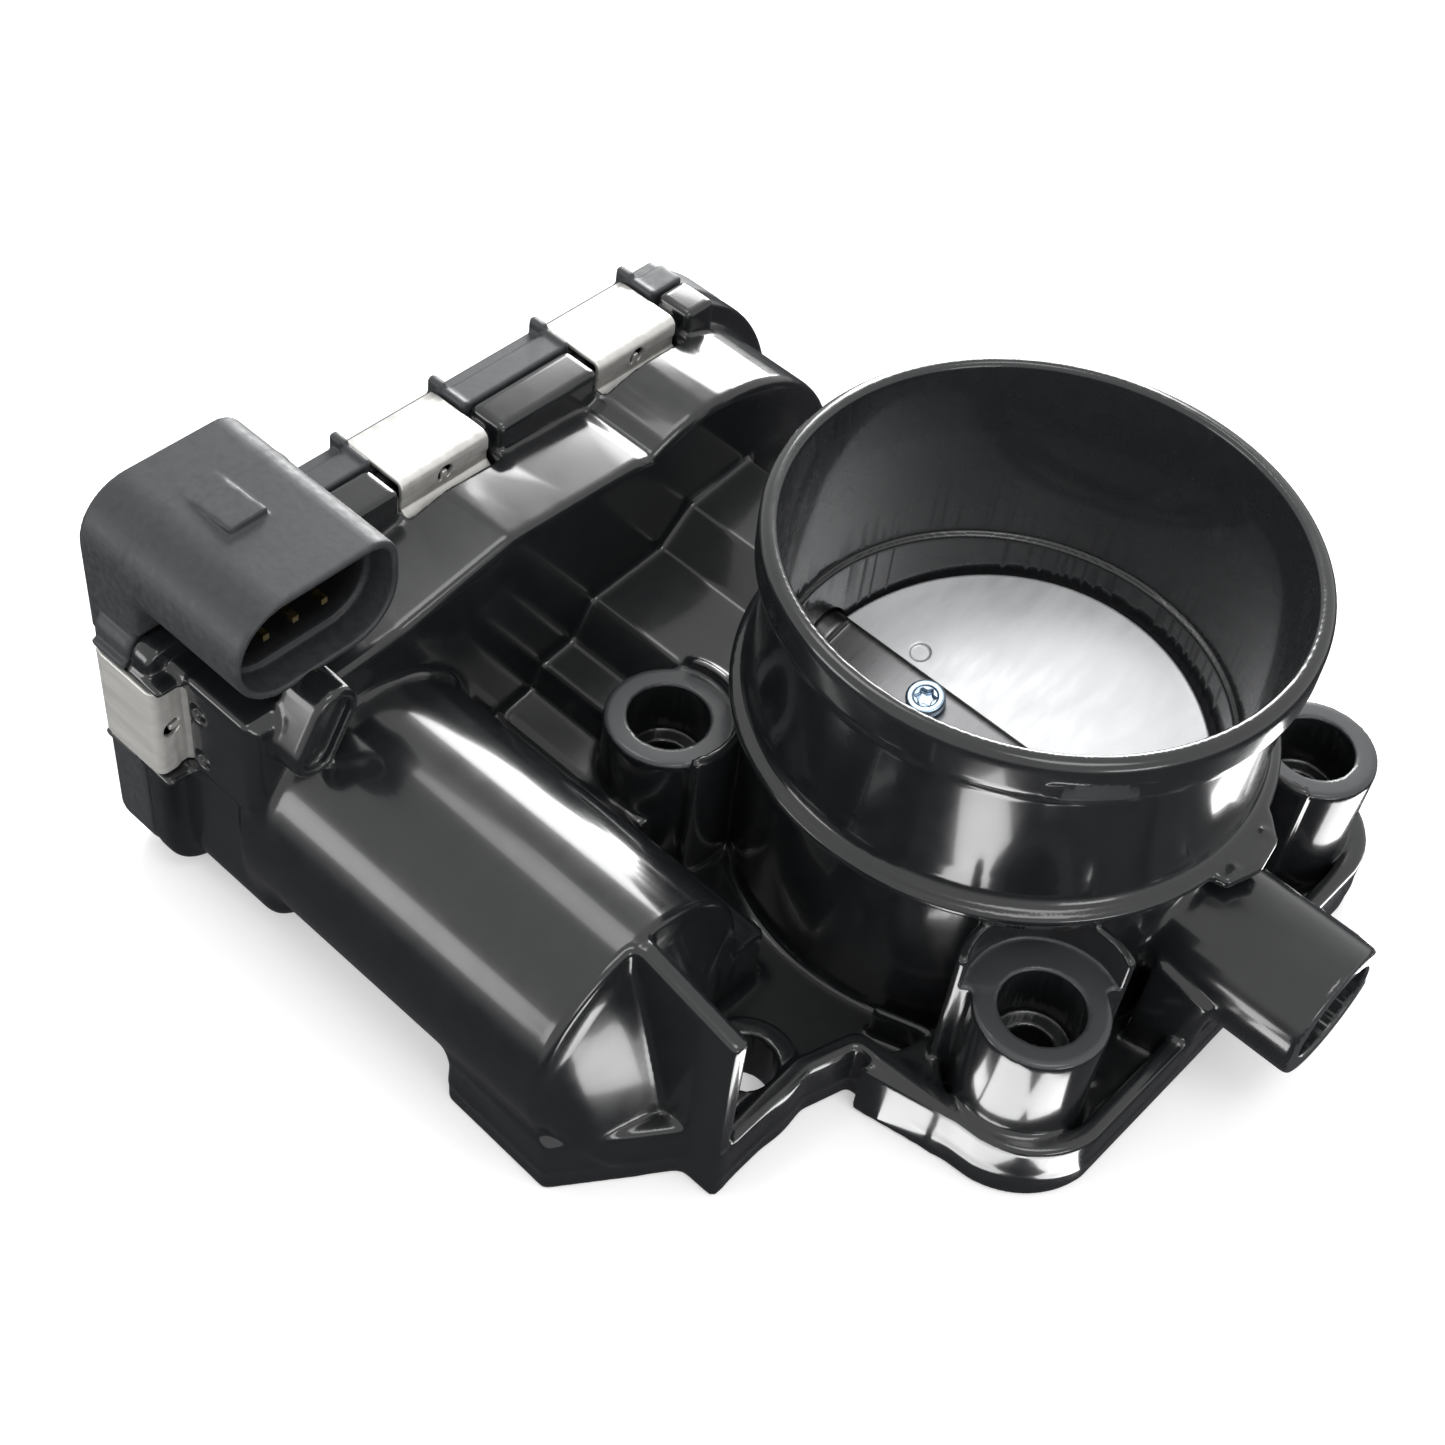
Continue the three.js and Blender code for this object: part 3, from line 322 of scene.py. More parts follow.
class Field:
    """A solid held as distances to its surface on an even grid, negative inside. Its skin keeps
    within the box from `low` to `high`."""

    def __init__(self, low, high, step):
        self.box = np.array(low, float), np.array(high, float)
        self.low, self.step = self.box[0] - 2.5 * step, step
        counts = np.ceil((np.array(high) - self.low) / step + 2.5).astype(int)
        self.values = np.full(counts, FAR, np.float32)

    def _near(self, solid, margin):
        start = np.floor((solid.low - margin - self.low) / self.step).astype(int)
        stop = np.ceil((solid.high + margin - self.low) / self.step).astype(int) + 1
        start, stop = np.maximum(start, 0), np.minimum(stop, self.values.shape)
        lines = [self.low[i] + self.step * np.arange(start[i], stop[i]) for i in range(3)]
        window = tuple(slice(a, b) for a, b in zip(start, stop))
        return window, np.meshgrid(*[line.astype(np.float32) for line in lines],
                                   indexing="ij", sparse=True)

    def add(self, solid, fillet=0.0):
        window, grid = self._near(solid, fillet + 2 * self.step)
        self.values[window] = smooth_min(self.values[window], solid.distance(*grid), fillet)

    def cut(self, solid, fillet=0.0):
        window, grid = self._near(solid, fillet + 2 * self.step)
        self.values[window] = -smooth_min(-self.values[window], solid.distance(*grid), fillet)

    def soften(self, passes=1):
        """Breaks every edge a little, outside and inside."""
        for _ in range(passes):
            for axis in range(3):
                padded = np.concatenate([
                    self.values.take([0], axis), self.values, self.values.take([-1], axis)], axis)
                length = self.values.shape[axis]
                before, after = (padded.take(range(i, i + length), axis) for i in (0, 2))
                self.values = (before + 2 * self.values + after) / 4

    def sample(self, points):
        """Distances at points given in mm, between the grid's own values."""
        place = (points - self.low) / self.step
        top = np.array(self.values.shape) - 2
        base = np.clip(np.floor(place).astype(int), 0, top)
        share = np.clip(place - base, 0, 1)
        total = 0
        for offset in itertools.product((0, 1), repeat=3):
            weight = np.prod(np.where(offset, share, 1 - share), axis=1)
            total = total + weight * self.values[tuple((base + offset).T)]
        return total

    def slope(self, points, reach=0.5):
        """The direction straight out of the solid at each point."""
        step = reach * self.step
        moves = np.eye(3) * step
        slope = np.stack([self.sample(points + m) - self.sample(points - m) for m in moves], 1)
        return slope / np.maximum(np.linalg.norm(slope, axis=1, keepdims=True), 1e-9)

    def skin(self):
        """Corners and quads of the surface, one corner to each grid cell that it crosses."""
        inside = self.values < 0
        cell = tuple(n - 1 for n in inside.shape)
        filled = np.zeros(cell, np.int8)
        offsets = list(itertools.product((0, 1), repeat=3))
        for i, j, k in offsets:
            filled += inside[i:i + cell[0], j:j + cell[1], k:k + cell[2]]
        mixed = (filled > 0) & (filled < 8)
        cells = np.argwhere(mixed)
        number = np.full(cell, -1, np.int64)
        number[mixed] = np.arange(len(cells))
        held = {o: self.values[tuple((cells + o).T)] for o in offsets}
        total, count = np.zeros((len(cells), 3)), np.zeros(len(cells))
        for o in offsets:
            for axis in range(3):
                if o[axis]:
                    continue
                across = tuple(1 if i == axis else o[i] for i in range(3))
                a, b = held[o], held[across]
                crossed = (a < 0) != (b < 0)
                share = np.where(crossed, a / np.where(crossed, a - b, 1), 0)
                point = np.tile(np.array(o, float), (len(cells), 1))
                point[:, axis] = share
                total += point * crossed[:, None]
                count += crossed
        points = self.low + self.step * (cells + total / count[:, None])
        for _ in range(2):
            points -= np.clip(self.sample(points), -0.3, 0.3)[:, None] * self.slope(points)
        points = np.clip(points, *self.box)
        quads = []
        for axis in range(3):
            u, v, w = PLANES["xyz"[axis]]
            first = inside.take(range(inside.shape[w] - 1), w)
            second = inside.take(range(1, inside.shape[w]), w)
            for starts in (True, False):
                edge = np.argwhere((first != second) & (first == starts))
                edge = edge[(edge[:, u] > 0) & (edge[:, v] > 0)]
                ring = []
                for du, dv in ((1, 1), (0, 1), (0, 0), (1, 0)):
                    spot = edge.copy()
                    spot[:, u] -= du
                    spot[:, v] -= dv
                    ring.append(number[tuple(spot.T)])
                ring = np.stack(ring, 1)
                quads.append(ring if starts else ring[:, ::-1])
        return points, np.concatenate(quads)


def place(points):
    """Millimetres in the bore frame to metres in the row frame."""
    return np.asarray(points) * MM + np.array(ORIGIN)


def build(name, field, faces=None, turn=None):
    """An object on the field's surface, thinned to about `faces` triangles, with its slopes as
    normals. `turn` moves it from where the field has it, in mm in the bore frame."""
    points, quads = field.skin()
    mesh = bpy.data.meshes.new(name)
    mesh.from_pydata(points.tolist(), [], quads.tolist())
    thing = bpy.data.objects.new(name, mesh)
    bpy.context.scene.collection.objects.link(thing)
    if faces and 2 * len(quads) > faces:
        thin = thing.modifiers.new("thin", "DECIMATE")
        thin.ratio = faces / (2 * len(quads))
        graph = bpy.context.evaluated_depsgraph_get()
        mesh = bpy.data.meshes.new_from_object(thing.evaluated_get(graph))
        mesh.name = name
        thing.modifiers.clear()
        thing.data = mesh
    points = np.empty(len(mesh.vertices) * 3)
    mesh.vertices.foreach_get("co", points)
    points = points.reshape(-1, 3)
    normals = field.slope(points, 0.7)
    if turn:
        matrix = np.array(turn)
        points = points @ matrix[:3, :3].T + matrix[:3, 3]
        normals = normals @ matrix[:3, :3].T
    mesh.vertices.foreach_set("co", place(points).ravel())
    mesh.shade_smooth()
    mesh.normals_split_custom_set_from_vertices(normals.tolist())
    mesh.update()
    return thing


def finish(thing, material, body, slot, *nodes):
    """Gives a piece its material, its body and the CAD nodes that it stands for; `slot` is not used.
    """
    thing.data.materials.clear()
    thing.data.materials.append(material)
    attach(thing, body)
    if nodes:
        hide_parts(*nodes)
    return thing

# ---------------------------------------------------------------- casting

def case_outline(inset):
    """Outline of the gear case flange and cover."""
    corner_radius, radius = CASE_CORNER - inset, CASE_ARC - inset
    top, ledge = CASE_TOP - inset, PLUG_LEDGE - inset
    bottom, left = CASE_BOTTOM + inset, CASE_LEFT + inset
    top_angle = math.degrees(math.asin((top - SHAFT_Z) / radius))
    bottom_angle = math.degrees(math.asin((bottom - SHAFT_Z) / radius))
    return polygon([
        *arc(left + corner_radius, bottom + corner_radius, corner_radius, 180, 270, 12),
        *arc(0, SHAFT_Z, radius, bottom_angle, top_angle, 28),
        (CASE_STEP + inset, top),
        (CASE_STEP + inset, ledge),
        *arc(left + 3, ledge - 3, 3, 90, 180, 4),
    ])


def front_outline(inset):
    """The front of the gear case: a lower, faceted top and a tighter round end."""
    corner_radius, radius = CASE_CORNER - inset, FRONT_ARC - inset
    left, bottom = FRONT_LEFT + inset, CASE_BOTTOM + inset * 2 / 3
    bottom_angle = math.degrees(math.asin((bottom - SHAFT_Z) / radius))
    return polygon([
        *arc(left + corner_radius, bottom + corner_radius, corner_radius, 180, 270, 12),
        *arc(0, SHAFT_Z, radius, bottom_angle, 116, 28),
        (-16, 15 - inset),
        (-43, 16.5 - inset),
        (-64, 12.5 - inset),
        (left, 11 - inset),
    ])


FLANGE = polygon([
    (-22, -90), (-2.4, -90.5), (9.4, -74), (14.9, -74), (14.3, -55), (16.5, -47.5),
    *arc(BOSS_X, -BOSS_Y + 2, FLANGE_CORNER, -80, -8, 10),
    *arc(BOSS_X - 0.5, BOSS_Y - 1, FLANGE_CORNER, 6, 90, 10),
    *arc(-BOSS_X, BOSS_Y - 1, FLANGE_CORNER, 90, 165, 10),
    (-50, -20), (-50, -60),
])


def gear_axes():
    first, second = middle("first_gear_pin"), middle("second_gear_pin")
    return [((p - ORIGIN).y / MM, (p - ORIGIN).z / MM) for p in (first, second)]


def casting_body(field):
    """Everything that the die leaves: walls, bosses and ribs, all joined in fillets."""
    field.add(push("z", FLANGE, BASE_Z, FLANGE_TOP, 0.5))
    field.add(push("z", FLANGE.wall(RIM_THICKNESS), FLANGE_TOP - 1, RIM_TOP, 0.8), 1.0)
    field.add(turned("z", [
        (30, BASE_Z), (BODY_RADIUS, BASE_Z), (BODY_RADIUS, -1.2), (COLLAR_RADIUS, -0.6),
        (COLLAR_RADIUS, 0.9), (NECK_RADIUS + 0.9, 1.5), (NECK_RADIUS + 0.2, 3),
        (NECK_RADIUS, 6), (NECK_RADIUS, LIP_BOTTOM - 2), (NECK_RADIUS + 0.4, LIP_BOTTOM - 0.8),
        (LIP_RADIUS - 0.2, LIP_BOTTOM + 0.4), (LIP_RADIUS, LIP_BOTTOM + 1.2),
        (LIP_RADIUS, TUBE_TOP - 1.2), (LIP_RADIUS - 0.4, TUBE_TOP - 0.4),
        (LIP_RADIUS - 1.2, TUBE_TOP), (30, TUBE_TOP),
    ]), 1.4)
    for x, y in BOLT_SEATS:
        field.add(bar("z", BOSS_RADIUS, BASE_Z, BOSS_TOP, x, y, 0.3), 1.6)
        reach = math.hypot(x, y)
        spot, top = spot_face(x, y)
        ridge = bar("z", spot + 1.5, BASE_Z, top, x, y, 0.5).beyond((-x, -y, 0), 3.0 - reach, 0.6)
        field.add(ridge, 0.8)
        web = [(0.80 * x - 0.07 * y * s, 0.80 * y + 0.07 * x * s) for s in (-1, 1)]
        spoke = polygon([(0, 0), web[0], (x - 2.5 * y / reach, y + 2.5 * x / reach),
                         (x + 2.5 * y / reach, y - 2.5 * x / reach)])
        field.add(push("z", spoke, BASE_Z, -12, 0.8), 1.4)
    field.add(bar("z", LUG_RADIUS, BASE_Z, LUG_TOP, LUG_X, LUG_Y, 0.3), 1.2)
    motor_end(field)
    gear_case(field)
    bearing_bosses(field)
    small_ribs(field)


def spot_face(x, y):
    """Radius of the flat machined round a bolt seat, and the top of the wall left behind it."""
    return (11.5, -1.4) if x > 0 > y else (10.0, -5.5)


def small_ribs(field):
    """The collar's tab, the gusset under the far bearing, and low ribs on the base."""
    tab = polygon([(37, -5.2), (43, -4.2), (44.8, 1.8), (43.6, 7.6), (40.2, 11.2), (36, 13)])
    field.add(push("z", tab, -1.2, 0.9, 0.4), 0.4)
    for x, y in ((42.2, -1.6), (41.2, 7.2)):
        field.add(bar("z", 0.7, 0, 1.4, x, y, 0.3), 0.3)
    gusset = [(40, -12.5, -13), (50.5, -12.5, -15), (49, -12, -31), (40, -14, -31)]
    field.add(hull([*gusset, *[(x, -9, z) for x, _, z in gusset]]), 1.0)
    shelf = polygon([(18.5, -49.5), (22.2, -37), (33, -46.5)])
    field.add(push("z", shelf, BASE_Z, -25, 0.5), 0.8)
    field.add(push("z", strip([(13.9, -40.3), (21.6, -37.5)], 1.2), BASE_Z, RIM_TOP, 0.4), 0.5)


def motor_end(field):
    """The motor's can with its nose, the fin on it and the shelf under it."""
    field.add(bar("x", CAN_RADIUS, CASE_FRONT - 4, CAN_END, MOTOR_Y, MOTOR_Z, 1.0), 2.2)
    rim = [(CAN_END - 0.6, *p) for p in arc(MOTOR_Y, MOTOR_Z, CAN_RADIUS - 0.2, 0, 355, 71)]
    field.add(hull([*rim, (7, -73, FLANGE_TOP), (4, -84, FLANGE_TOP), (3, -66, MOTOR_Z)]), 0.8)
    fin = polygon([(BASE_Z, -8), (BASE_Z, 14.6), (0.8, 14.6), (5, -3), (3, -8)])
    field.add(push("y", fin, *FIN_Y, 0.6), 0.8)
    shelf = polygon([(-48, -62), (-22, -89), (-2.4, -89), (5, -79), (5, -60)])
    field.add(push("z", shelf, BASE_Z, -26.6, 0.6), 1.2)
    field.add(block(CASE_FRONT, CAN_END, -80, -45, BASE_Z, MOTOR_Z - 4, 1.0), 3.0)


def gear_case(field):
    """The flanged case around the gears, its blocks between the clips, and its web to the bore."""
    field.add(push("x", case_outline(0), CASE_JOINT, CASE_FLANGE, 0.35), 0.5)
    field.add(push("x", front_outline(0), CASE_FLANGE, CASE_FRONT, 1.2), 1.6)
    for y0, y1 in BLOCKS:
        field.add(block(CASE_JOINT, BLOCK_FRONT, y0, y1, 10, BLOCK_TOP, 0.6), 0.5)
    field.add(block(-73.9, CASE_FRONT - 1, -91.2, -84, -7, 12, 0.7), 0.5)
    for z in SIDE_GUIDES:
        field.add(block(CASE_JOINT, -74.6, -95, -90, z, z + 1.2, 0.4), 0.5)
    field.add(push("x", strip(EAR, 8), CASE_FRONT - 2, -54.5, 0.8), 0.8)
    steps = polygon([
        (9, -30), (9, 1), (-4.5, -0.8), (-10.6, -6.2), (-25.5, -7.4), (-29.6, -13.8),
        (-36, -14.8), (-38, -18.8), (-44, -20), (-50, -30),
    ])
    field.add(push("x", steps, CASE_FRONT - 1, -30, 0.6), 1.0)


def bearing_bosses(field):
    field.add(bar("x", BEARING_BOSS_RADIUS, CASE_FRONT - 1, -30, 0, SHAFT_Z), 1.6)
    field.add(bar("x", BEARING_BOSS_RADIUS, 30, BEARING_BOSS_END, 0, SHAFT_Z, 0.5), 1.8)
    field.add(block(30, 46, -4, 4, BASE_Z, SHAFT_Z, 0.6), 1.4)


def machining(field):
    """Bores, seats and faces cut after casting, with crisp edges."""
    field.cut(turned("z", [
        (0, BASE_Z - PAST), (BORE_RADIUS, BASE_Z - PAST), (BORE_RADIUS, 0), (INLET_RADIUS, 0),
        (INLET_RADIUS + 1.2, 20), (INLET_RADIUS + 2.2, TUBE_TOP - 0.6),
        (INLET_RADIUS + 3.0, TUBE_TOP + 0.4), (INLET_RADIUS + 3.0, TUBE_TOP + PAST),
        (0, TUBE_TOP + PAST),
    ]))
    for x, y in BOLT_SEATS:
        field.cut(bar("z", spot_face(x, y)[0], BOSS_TOP, -1.5, x, y, 0.2))
        field.cut(bar("z", SEAT_RADIUS, BOSS_TOP - SEAT_DEPTH, BOSS_TOP + PAST, x, y, 0.2))
        field.cut(bar("z", BOLT_RADIUS, BASE_Z - PAST, BOSS_TOP, x, y, 0))
    field.cut(bar("z", LUG_HOLE, BASE_Z - PAST, LUG_TOP + PAST, LUG_X, LUG_Y, 0))
    field.cut(bar("x", BEARING_INNER, CASE_FRONT - 5, BEARING_BOSS_END - 4, 0, SHAFT_Z, 0))
    seat = BEARING_OUTER + JOINT_GAP
    gear_side, far_side = BEARING_STOPS
    field.cut(bar("x", seat, CASE_FRONT - 5, gear_side, 0, SHAFT_Z, 0))
    field.cut(bar("x", seat, far_side, BEARING_BOSS_END + PAST, 0, SHAFT_Z, 0))
    field.cut(bar("x", MOTOR_BORE, CASE_FRONT - 5, CAN_END - 3, MOTOR_Y, MOTOR_Z, 0))
    top = CASE_TOP - NOTCH_DEPTH - NOTCH_WALL
    side = CASE_LEFT + NOTCH_DEPTH + NOTCH_WALL
    under_top_notches = block(CLIP_LIP - 4.8, CASE_FRONT, -53, 11, top, CASE_TOP + 5)
    behind_side_notch = block(CLIP_LIP - 4.8, CLIP_LIP + 4.3, CASE_LEFT - 5, side, -11, 11)
    for room in (
            push("x", front_outline(CASE_WALL), CASE_FLANGE - 0.5, CASE_FRONT - CASE_WALL, 0.8),
            push("x", case_outline(RIM_WALL), CASE_JOINT - PAST, CASE_FLANGE, 0.2)):
        field.cut(without(without(room, under_top_notches), behind_side_notch))
    for y, z in [*gear_axes(), (0, SHAFT_Z)]:
        field.cut(bar("x", GEAR_ROOM, CASE_JOINT - PAST, CASE_FLANGE, y, z, 0))
    for y, z in gear_axes():
        field.cut(bar("x", PIN_HOLE, CASE_FRONT - 5, CASE_FRONT - 1, y, z, 0))
    groove = case_outline(GASKET_INSET).wall(GASKET_WIDTH)
    field.cut(push("x", groove, CASE_JOINT - PAST, CASE_JOINT + GASKET_DEPTH, 0))
    groove = circle(0, 0, SEAL_RADIUS).wall(SEAL_WIDTH)
    field.cut(push("z", groove, BASE_Z - PAST, BASE_Z + SEAL_DEPTH, 0))
    notch = CLIP_LIP - NOTCH_REACH, CLIP_LIP + NOTCH_REACH
    for y in TOP_CLIPS:
        field.cut(block(*notch, y - NOTCH_HALF, y + NOTCH_HALF,
                        CASE_TOP - NOTCH_DEPTH, CASE_TOP + 3, 0.3))
    field.cut(block(*notch, CASE_LEFT - 3, CASE_LEFT + NOTCH_DEPTH,
                    SIDE_CLIP_Z - SIDE_NOTCH_HALF, SIDE_CLIP_Z + SIDE_NOTCH_HALF, 0.3))
    for z in (-3.6, 6.2):
        field.cut(bar("y", 1.5, -93, -90, z, -71.6, 0.3), 0.6)
    field.cut(push("x", strip(EAR, 5), -56, -53, 0.4))
    lip_mark = turned("z", [(39.3, 25.2), (42, 25.2), (42, 28.6), (39.3, 28.6)])
    turn = math.radians(LIP_MARK_TURN)
    field.cut(lip_mark.beyond((math.cos(turn), math.sin(turn), 0), 39.2))


def housing(material):
    field = Field((-82, -95, -36), (63, 47.4, 32.35), STEP)
    casting_body(field)
    field.soften()
    machining(field)
    thing = build("throttle_body_casting", field, CASTING_FACES)
    mark_machined(thing)
    return finish(thing, material, "housing", "coated_casting", "throttle_housing")


def corners(thing):
    """x, y and z of a piece's corners, in mm in the bore frame."""
    points = np.empty(len(thing.data.vertices) * 3)
    thing.data.vertices.foreach_get("co", points)
    return ((points.reshape(-1, 3) - np.array(ORIGIN)) / MM).T


def store(thing, name, values):
    """A number for each corner, which the piece's material reads by name."""
    thing.data.attributes.new(name, "FLOAT", "POINT").data.foreach_set("value", values)


def mark_machined(thing):
    """Stores how bare each corner is: 1 on the bolt faces, the base and the far bearing's end,
    less on the lip's flat, and least in the bore."""
    x, y, z = corners(thing)
    share = np.where(np.hypot(x, y) < NECK_RADIUS - 0.3, 0.25, 0.0)
    for a, b in BOLT_SEATS:
        on_face = (np.abs(z - BOSS_TOP) < 0.25) & (np.hypot(x - a, y - b) < spot_face(a, b)[0] + 0.2)
        share = np.where(on_face, 1.0, share)
    turn = np.degrees(np.arctan2(y, x))
    on_lip = np.hypot((turn - LIP_MARK_TURN) / 7.5, (z - LIP_BOTTOM - 0.4) / 3.6) < 1
    share = np.where(on_lip & (np.hypot(x, y) > LIP_RADIUS - 1), 0.8, share)
    share = np.where((z < BASE_Z + 0.1) | (x > BEARING_BOSS_END - 0.2), 1.0, share)
    store(thing, "machined", share)


# ---------------------------------------------------------------- cover, plug and clips

def plug_outline(inset=0.0):
    """The socket's outline: round towards the outside, squarer above the clips."""
    half, left = PLUG_HEIGHT / 2 - inset, PLUG_Y - PLUG_WIDTH / 2 + PLUG_HEIGHT / 2
    right = PLUG_Y + PLUG_WIDTH / 2 - inset
    tight, wide = PLUG_CORNER - inset * 0.6, PLUG_HEIGHT / 2 - inset
    return polygon([
        *arc(left, PLUG_Z, half, 90, 270, 24),
        *arc(right - wide, PLUG_Z - half + wide, wide, 270, 360, 12),
        *arc(right - tight, PLUG_Z + half - tight, tight, 0, 90, 8),
    ])


def socket(field):
    """The plug socket with its thick root, latch ramp and stepped mouth."""
    root = polygon([
        *arc(PLUG_Y - PLUG_WIDTH / 2 + PLUG_HEIGHT / 2, PLUG_Z, PLUG_HEIGHT / 2, 90, 180, 12),
        (PLUG_Y - PLUG_WIDTH / 2, 8), (PLUG_Y + PLUG_WIDTH / 2, 8),
        *arc(PLUG_Y + PLUG_WIDTH / 2 - PLUG_CORNER, PLUG_Z + PLUG_HEIGHT / 2 - PLUG_CORNER,
             PLUG_CORNER, 0, 90, 8),
    ])
    field.add(push("x", root, PLUG_REAR, PLUG_BACK, 0.7), 0.4)
    field.add(push("x", plug_outline(), PLUG_BACK - 2, PLUG_MOUTH, 0.35), 0.5)
    latch = polygon([
        (PLUG_Z + 7, -84.5), (PLUG_Z + 7, -73.5), (PLUG_Z + 9.8, -73.5), (PLUG_Z + 8.5, -84.5)])
    field.add(push("y", latch, PLUG_Y - 3.2, PLUG_Y + 3.2, 0.2), 0.2)
    seam = plug_outline(-0.5).wall(0.62)
    field.cut(push("x", seam, PLUG_BACK - 0.1, PLUG_BACK + 0.1, 0.05), 0.1)
    field.cut(push("x", plug_outline(PLUG_WALL), PLUG_FLOOR, PLUG_MOUTH + PAST, 0.1))
    field.cut(push("x", plug_outline(PLUG_WALL - 0.7), PLUG_MOUTH - 5, PLUG_MOUTH + PAST, 0.1))
    field.cut(block(CASE_JOINT - JOINT_GAP, CASE_FRONT + 0.6, CASE_LEFT - PAST, -60,
                    0, PLUG_LEDGE + JOINT_GAP, 0))


def clip_guides(field):
    """Raised strips between the clips, and a rib with a thicker head beside each clip."""
    for y0, y1 in BLOCKS:
        field.add(block(COVER_BACK + 3, CASE_JOINT - JOINT_GAP, y0, y1, 14, BLOCK_TOP, 0.4), 0.3)
        field.add(block(COVER_BACK + 0.8, -86, y0, y1, 14, BLOCK_TOP - 0.8, 0.4), 0.3)
    for y in TOP_CLIPS:
        for side in (-1, 1):
            edge = y + side * (CLIP_WIDTH / 2 + 1)
            field.add(block(COVER_BACK, CASE_JOINT - JOINT_GAP, edge - 0.6, edge + 0.6,
                            14, BLOCK_TOP + 0.4, 0.35), 0.3)
            field.add(block(COVER_BACK, COVER_BACK + 3, edge - 0.8, edge + 0.8,
                            14, BLOCK_TOP + 1, 0.5), 0.3)
    for z in SIDE_GUIDES:
        field.add(block(COVER_BACK + 0.8, CASE_JOINT - JOINT_GAP, -95, -92, z, z + 1.2, 0.4), 0.3)


def gear_cover(material):
    field = Field((PLUG_REAR, -95, -49), (PLUG_MOUTH, 35, 34), FINE)
    field.add(push("x", case_outline(0), COVER_BACK, CASE_JOINT - JOINT_GAP, 0.9))
    clip_guides(field)
    socket(field)
    floor = COVER_BACK + COVER_WALL
    field.cut(push("x", case_outline(RIM_WALL), floor, CASE_JOINT + PAST, 0.3))
    for y, z in [*gear_axes(), (0, SHAFT_Z)]:
        field.cut(bar("x", GEAR_ROOM, floor, CASE_JOINT + PAST, y, z, 0.3))
    for y, z in gear_axes():
        field.add(bar("x", 4, COVER_BACK + 1, -85.6, y, z, 0.2), 0.5)
        field.cut(bar("x", PIN_HOLE, floor, -84, y, z, 0))
    for i in range(1, 7):
        low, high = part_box(f"plug_pin_{i}")
        (_, y0, z0), (_, y1, z1) = ((p - ORIGIN) / MM for p in (low, high))
        field.cut(block(PLUG_PIN_BACK, PLUG_FLOOR + 1, y0 - 0.2, y1 + 0.2, z0 - 0.2, z1 + 0.2, 0))
    thing = build("gear_cover_moulding", field, COVER_FACES)
    x, y, z = corners(thing)
    # Painted shade: a share that darkens the moulding's colour the deeper it lies inside the plug
    # socket.
    inside = (plug_outline(1.0).distance(y, z) < 0) & (x > PLUG_FLOOR - 1)
    store(thing, "socket_painted_shade", np.where(inside, np.clip((PLUG_MOUTH - 2 - x) / 6, 0, 1), 0))
    return finish(thing, material, "housing", "cover_plastic", "gear_cover")


def clip(name, node, material, width, drop, turn):
    """A spring clip: flat over the joint, its front lip bent down, pierced, and flared out.
    In its own frame y runs along the joint and z = 0 is the wall that it sits on."""
    middle_z, bend = JOINT_GAP + CLIP_SHEET / 2, 1.0
    path = [
        (middle_z - 0.25, CLIP_BACK + 0.4),
        (middle_z, CLIP_BACK + 1.6),
        *[(middle_z - bend + b, CLIP_LIP - bend + a)
          for a, b in arc(0, 0, bend, 90, 0, 6)],
        (middle_z - 0.42 * drop, CLIP_LIP),
        (middle_z - 0.56 * drop, CLIP_LIP - 0.35),
        (middle_z - 0.8 * drop, CLIP_LIP - 0.35),
        (middle_z - drop, CLIP_LIP + 1.1),
    ]
    field = Field((CLIP_BACK, -width / 2, -drop), (CLIP_LIP + 1.6, width / 2, 1.3), THIN)
    field.add(push("y", strip(path, CLIP_SHEET), -width / 2, width / 2, 0.15))
    hole = -0.3 * drop
    field.cut(push("x", circle(0, hole, 1.5), CLIP_LIP - 2, CLIP_LIP + 2, 0.1))
    field.add(push("x", rectangle(-0.5, 0.5, hole - 1.6, hole + 0.4, 0.2),
                   CLIP_LIP - 0.5, CLIP_LIP + 0.2, 0.1))
    thing = build(name, field, SMALL_FACES, turn)
    return finish(thing, material, "housing", "clip_steel", node)


def clips(material):
    for i, y in enumerate(TOP_CLIPS, 1):
        clip(f"spring_clip_top_{i}", f"cover_clip_top_{i}", material, CLIP_WIDTH, CLIP_DROP,
             Matrix.Translation((0, y, CASE_TOP)))
    quarter = Matrix.Rotation(math.radians(90), 4, "X")
    clip("spring_clip_motor_side", "cover_clip_motor_side", material, CLIP_WIDTH, CLIP_DROP,
         Matrix.Translation((0, CASE_LEFT, SIDE_CLIP_Z)) @ quarter)
    clip("spring_clip_round_end", "cover_clip_round_end", material, ROUND_CLIP_WIDTH,
         ROUND_CLIP_DROP, Matrix.Translation((0, CASE_ARC, SHAFT_Z)) @ quarter.inverted())


# ---------------------------------------------------------------- throttle

TILT = Matrix.Translation((0, 0, SHAFT_Z)) @ Matrix.Rotation(REST_TILT, 4, "X")


def butterfly(aluminium):
    half = PLATE_THICKNESS / 2
    field = Field((-34, -34, -half), (34, 34, half), PLATE_STEP)
    field.add(bar("z", PLATE_RADIUS, -half, half, 0, 0, 0.3))
    for x in (-SCREW_X, SCREW_X):
        field.cut(bar("z", SCREW_HOLE, -4, 4, x, 0, 0))
    field.cut(bar("z", 1.6, half - 0.4, 4, *PLATE_MARK, 0.1))
    plate = build("butterfly_plate", field, PLATE_FACES, TILT)
    finish(plate, aluminium, "throttle", "plate_aluminium", "throttle_plate")


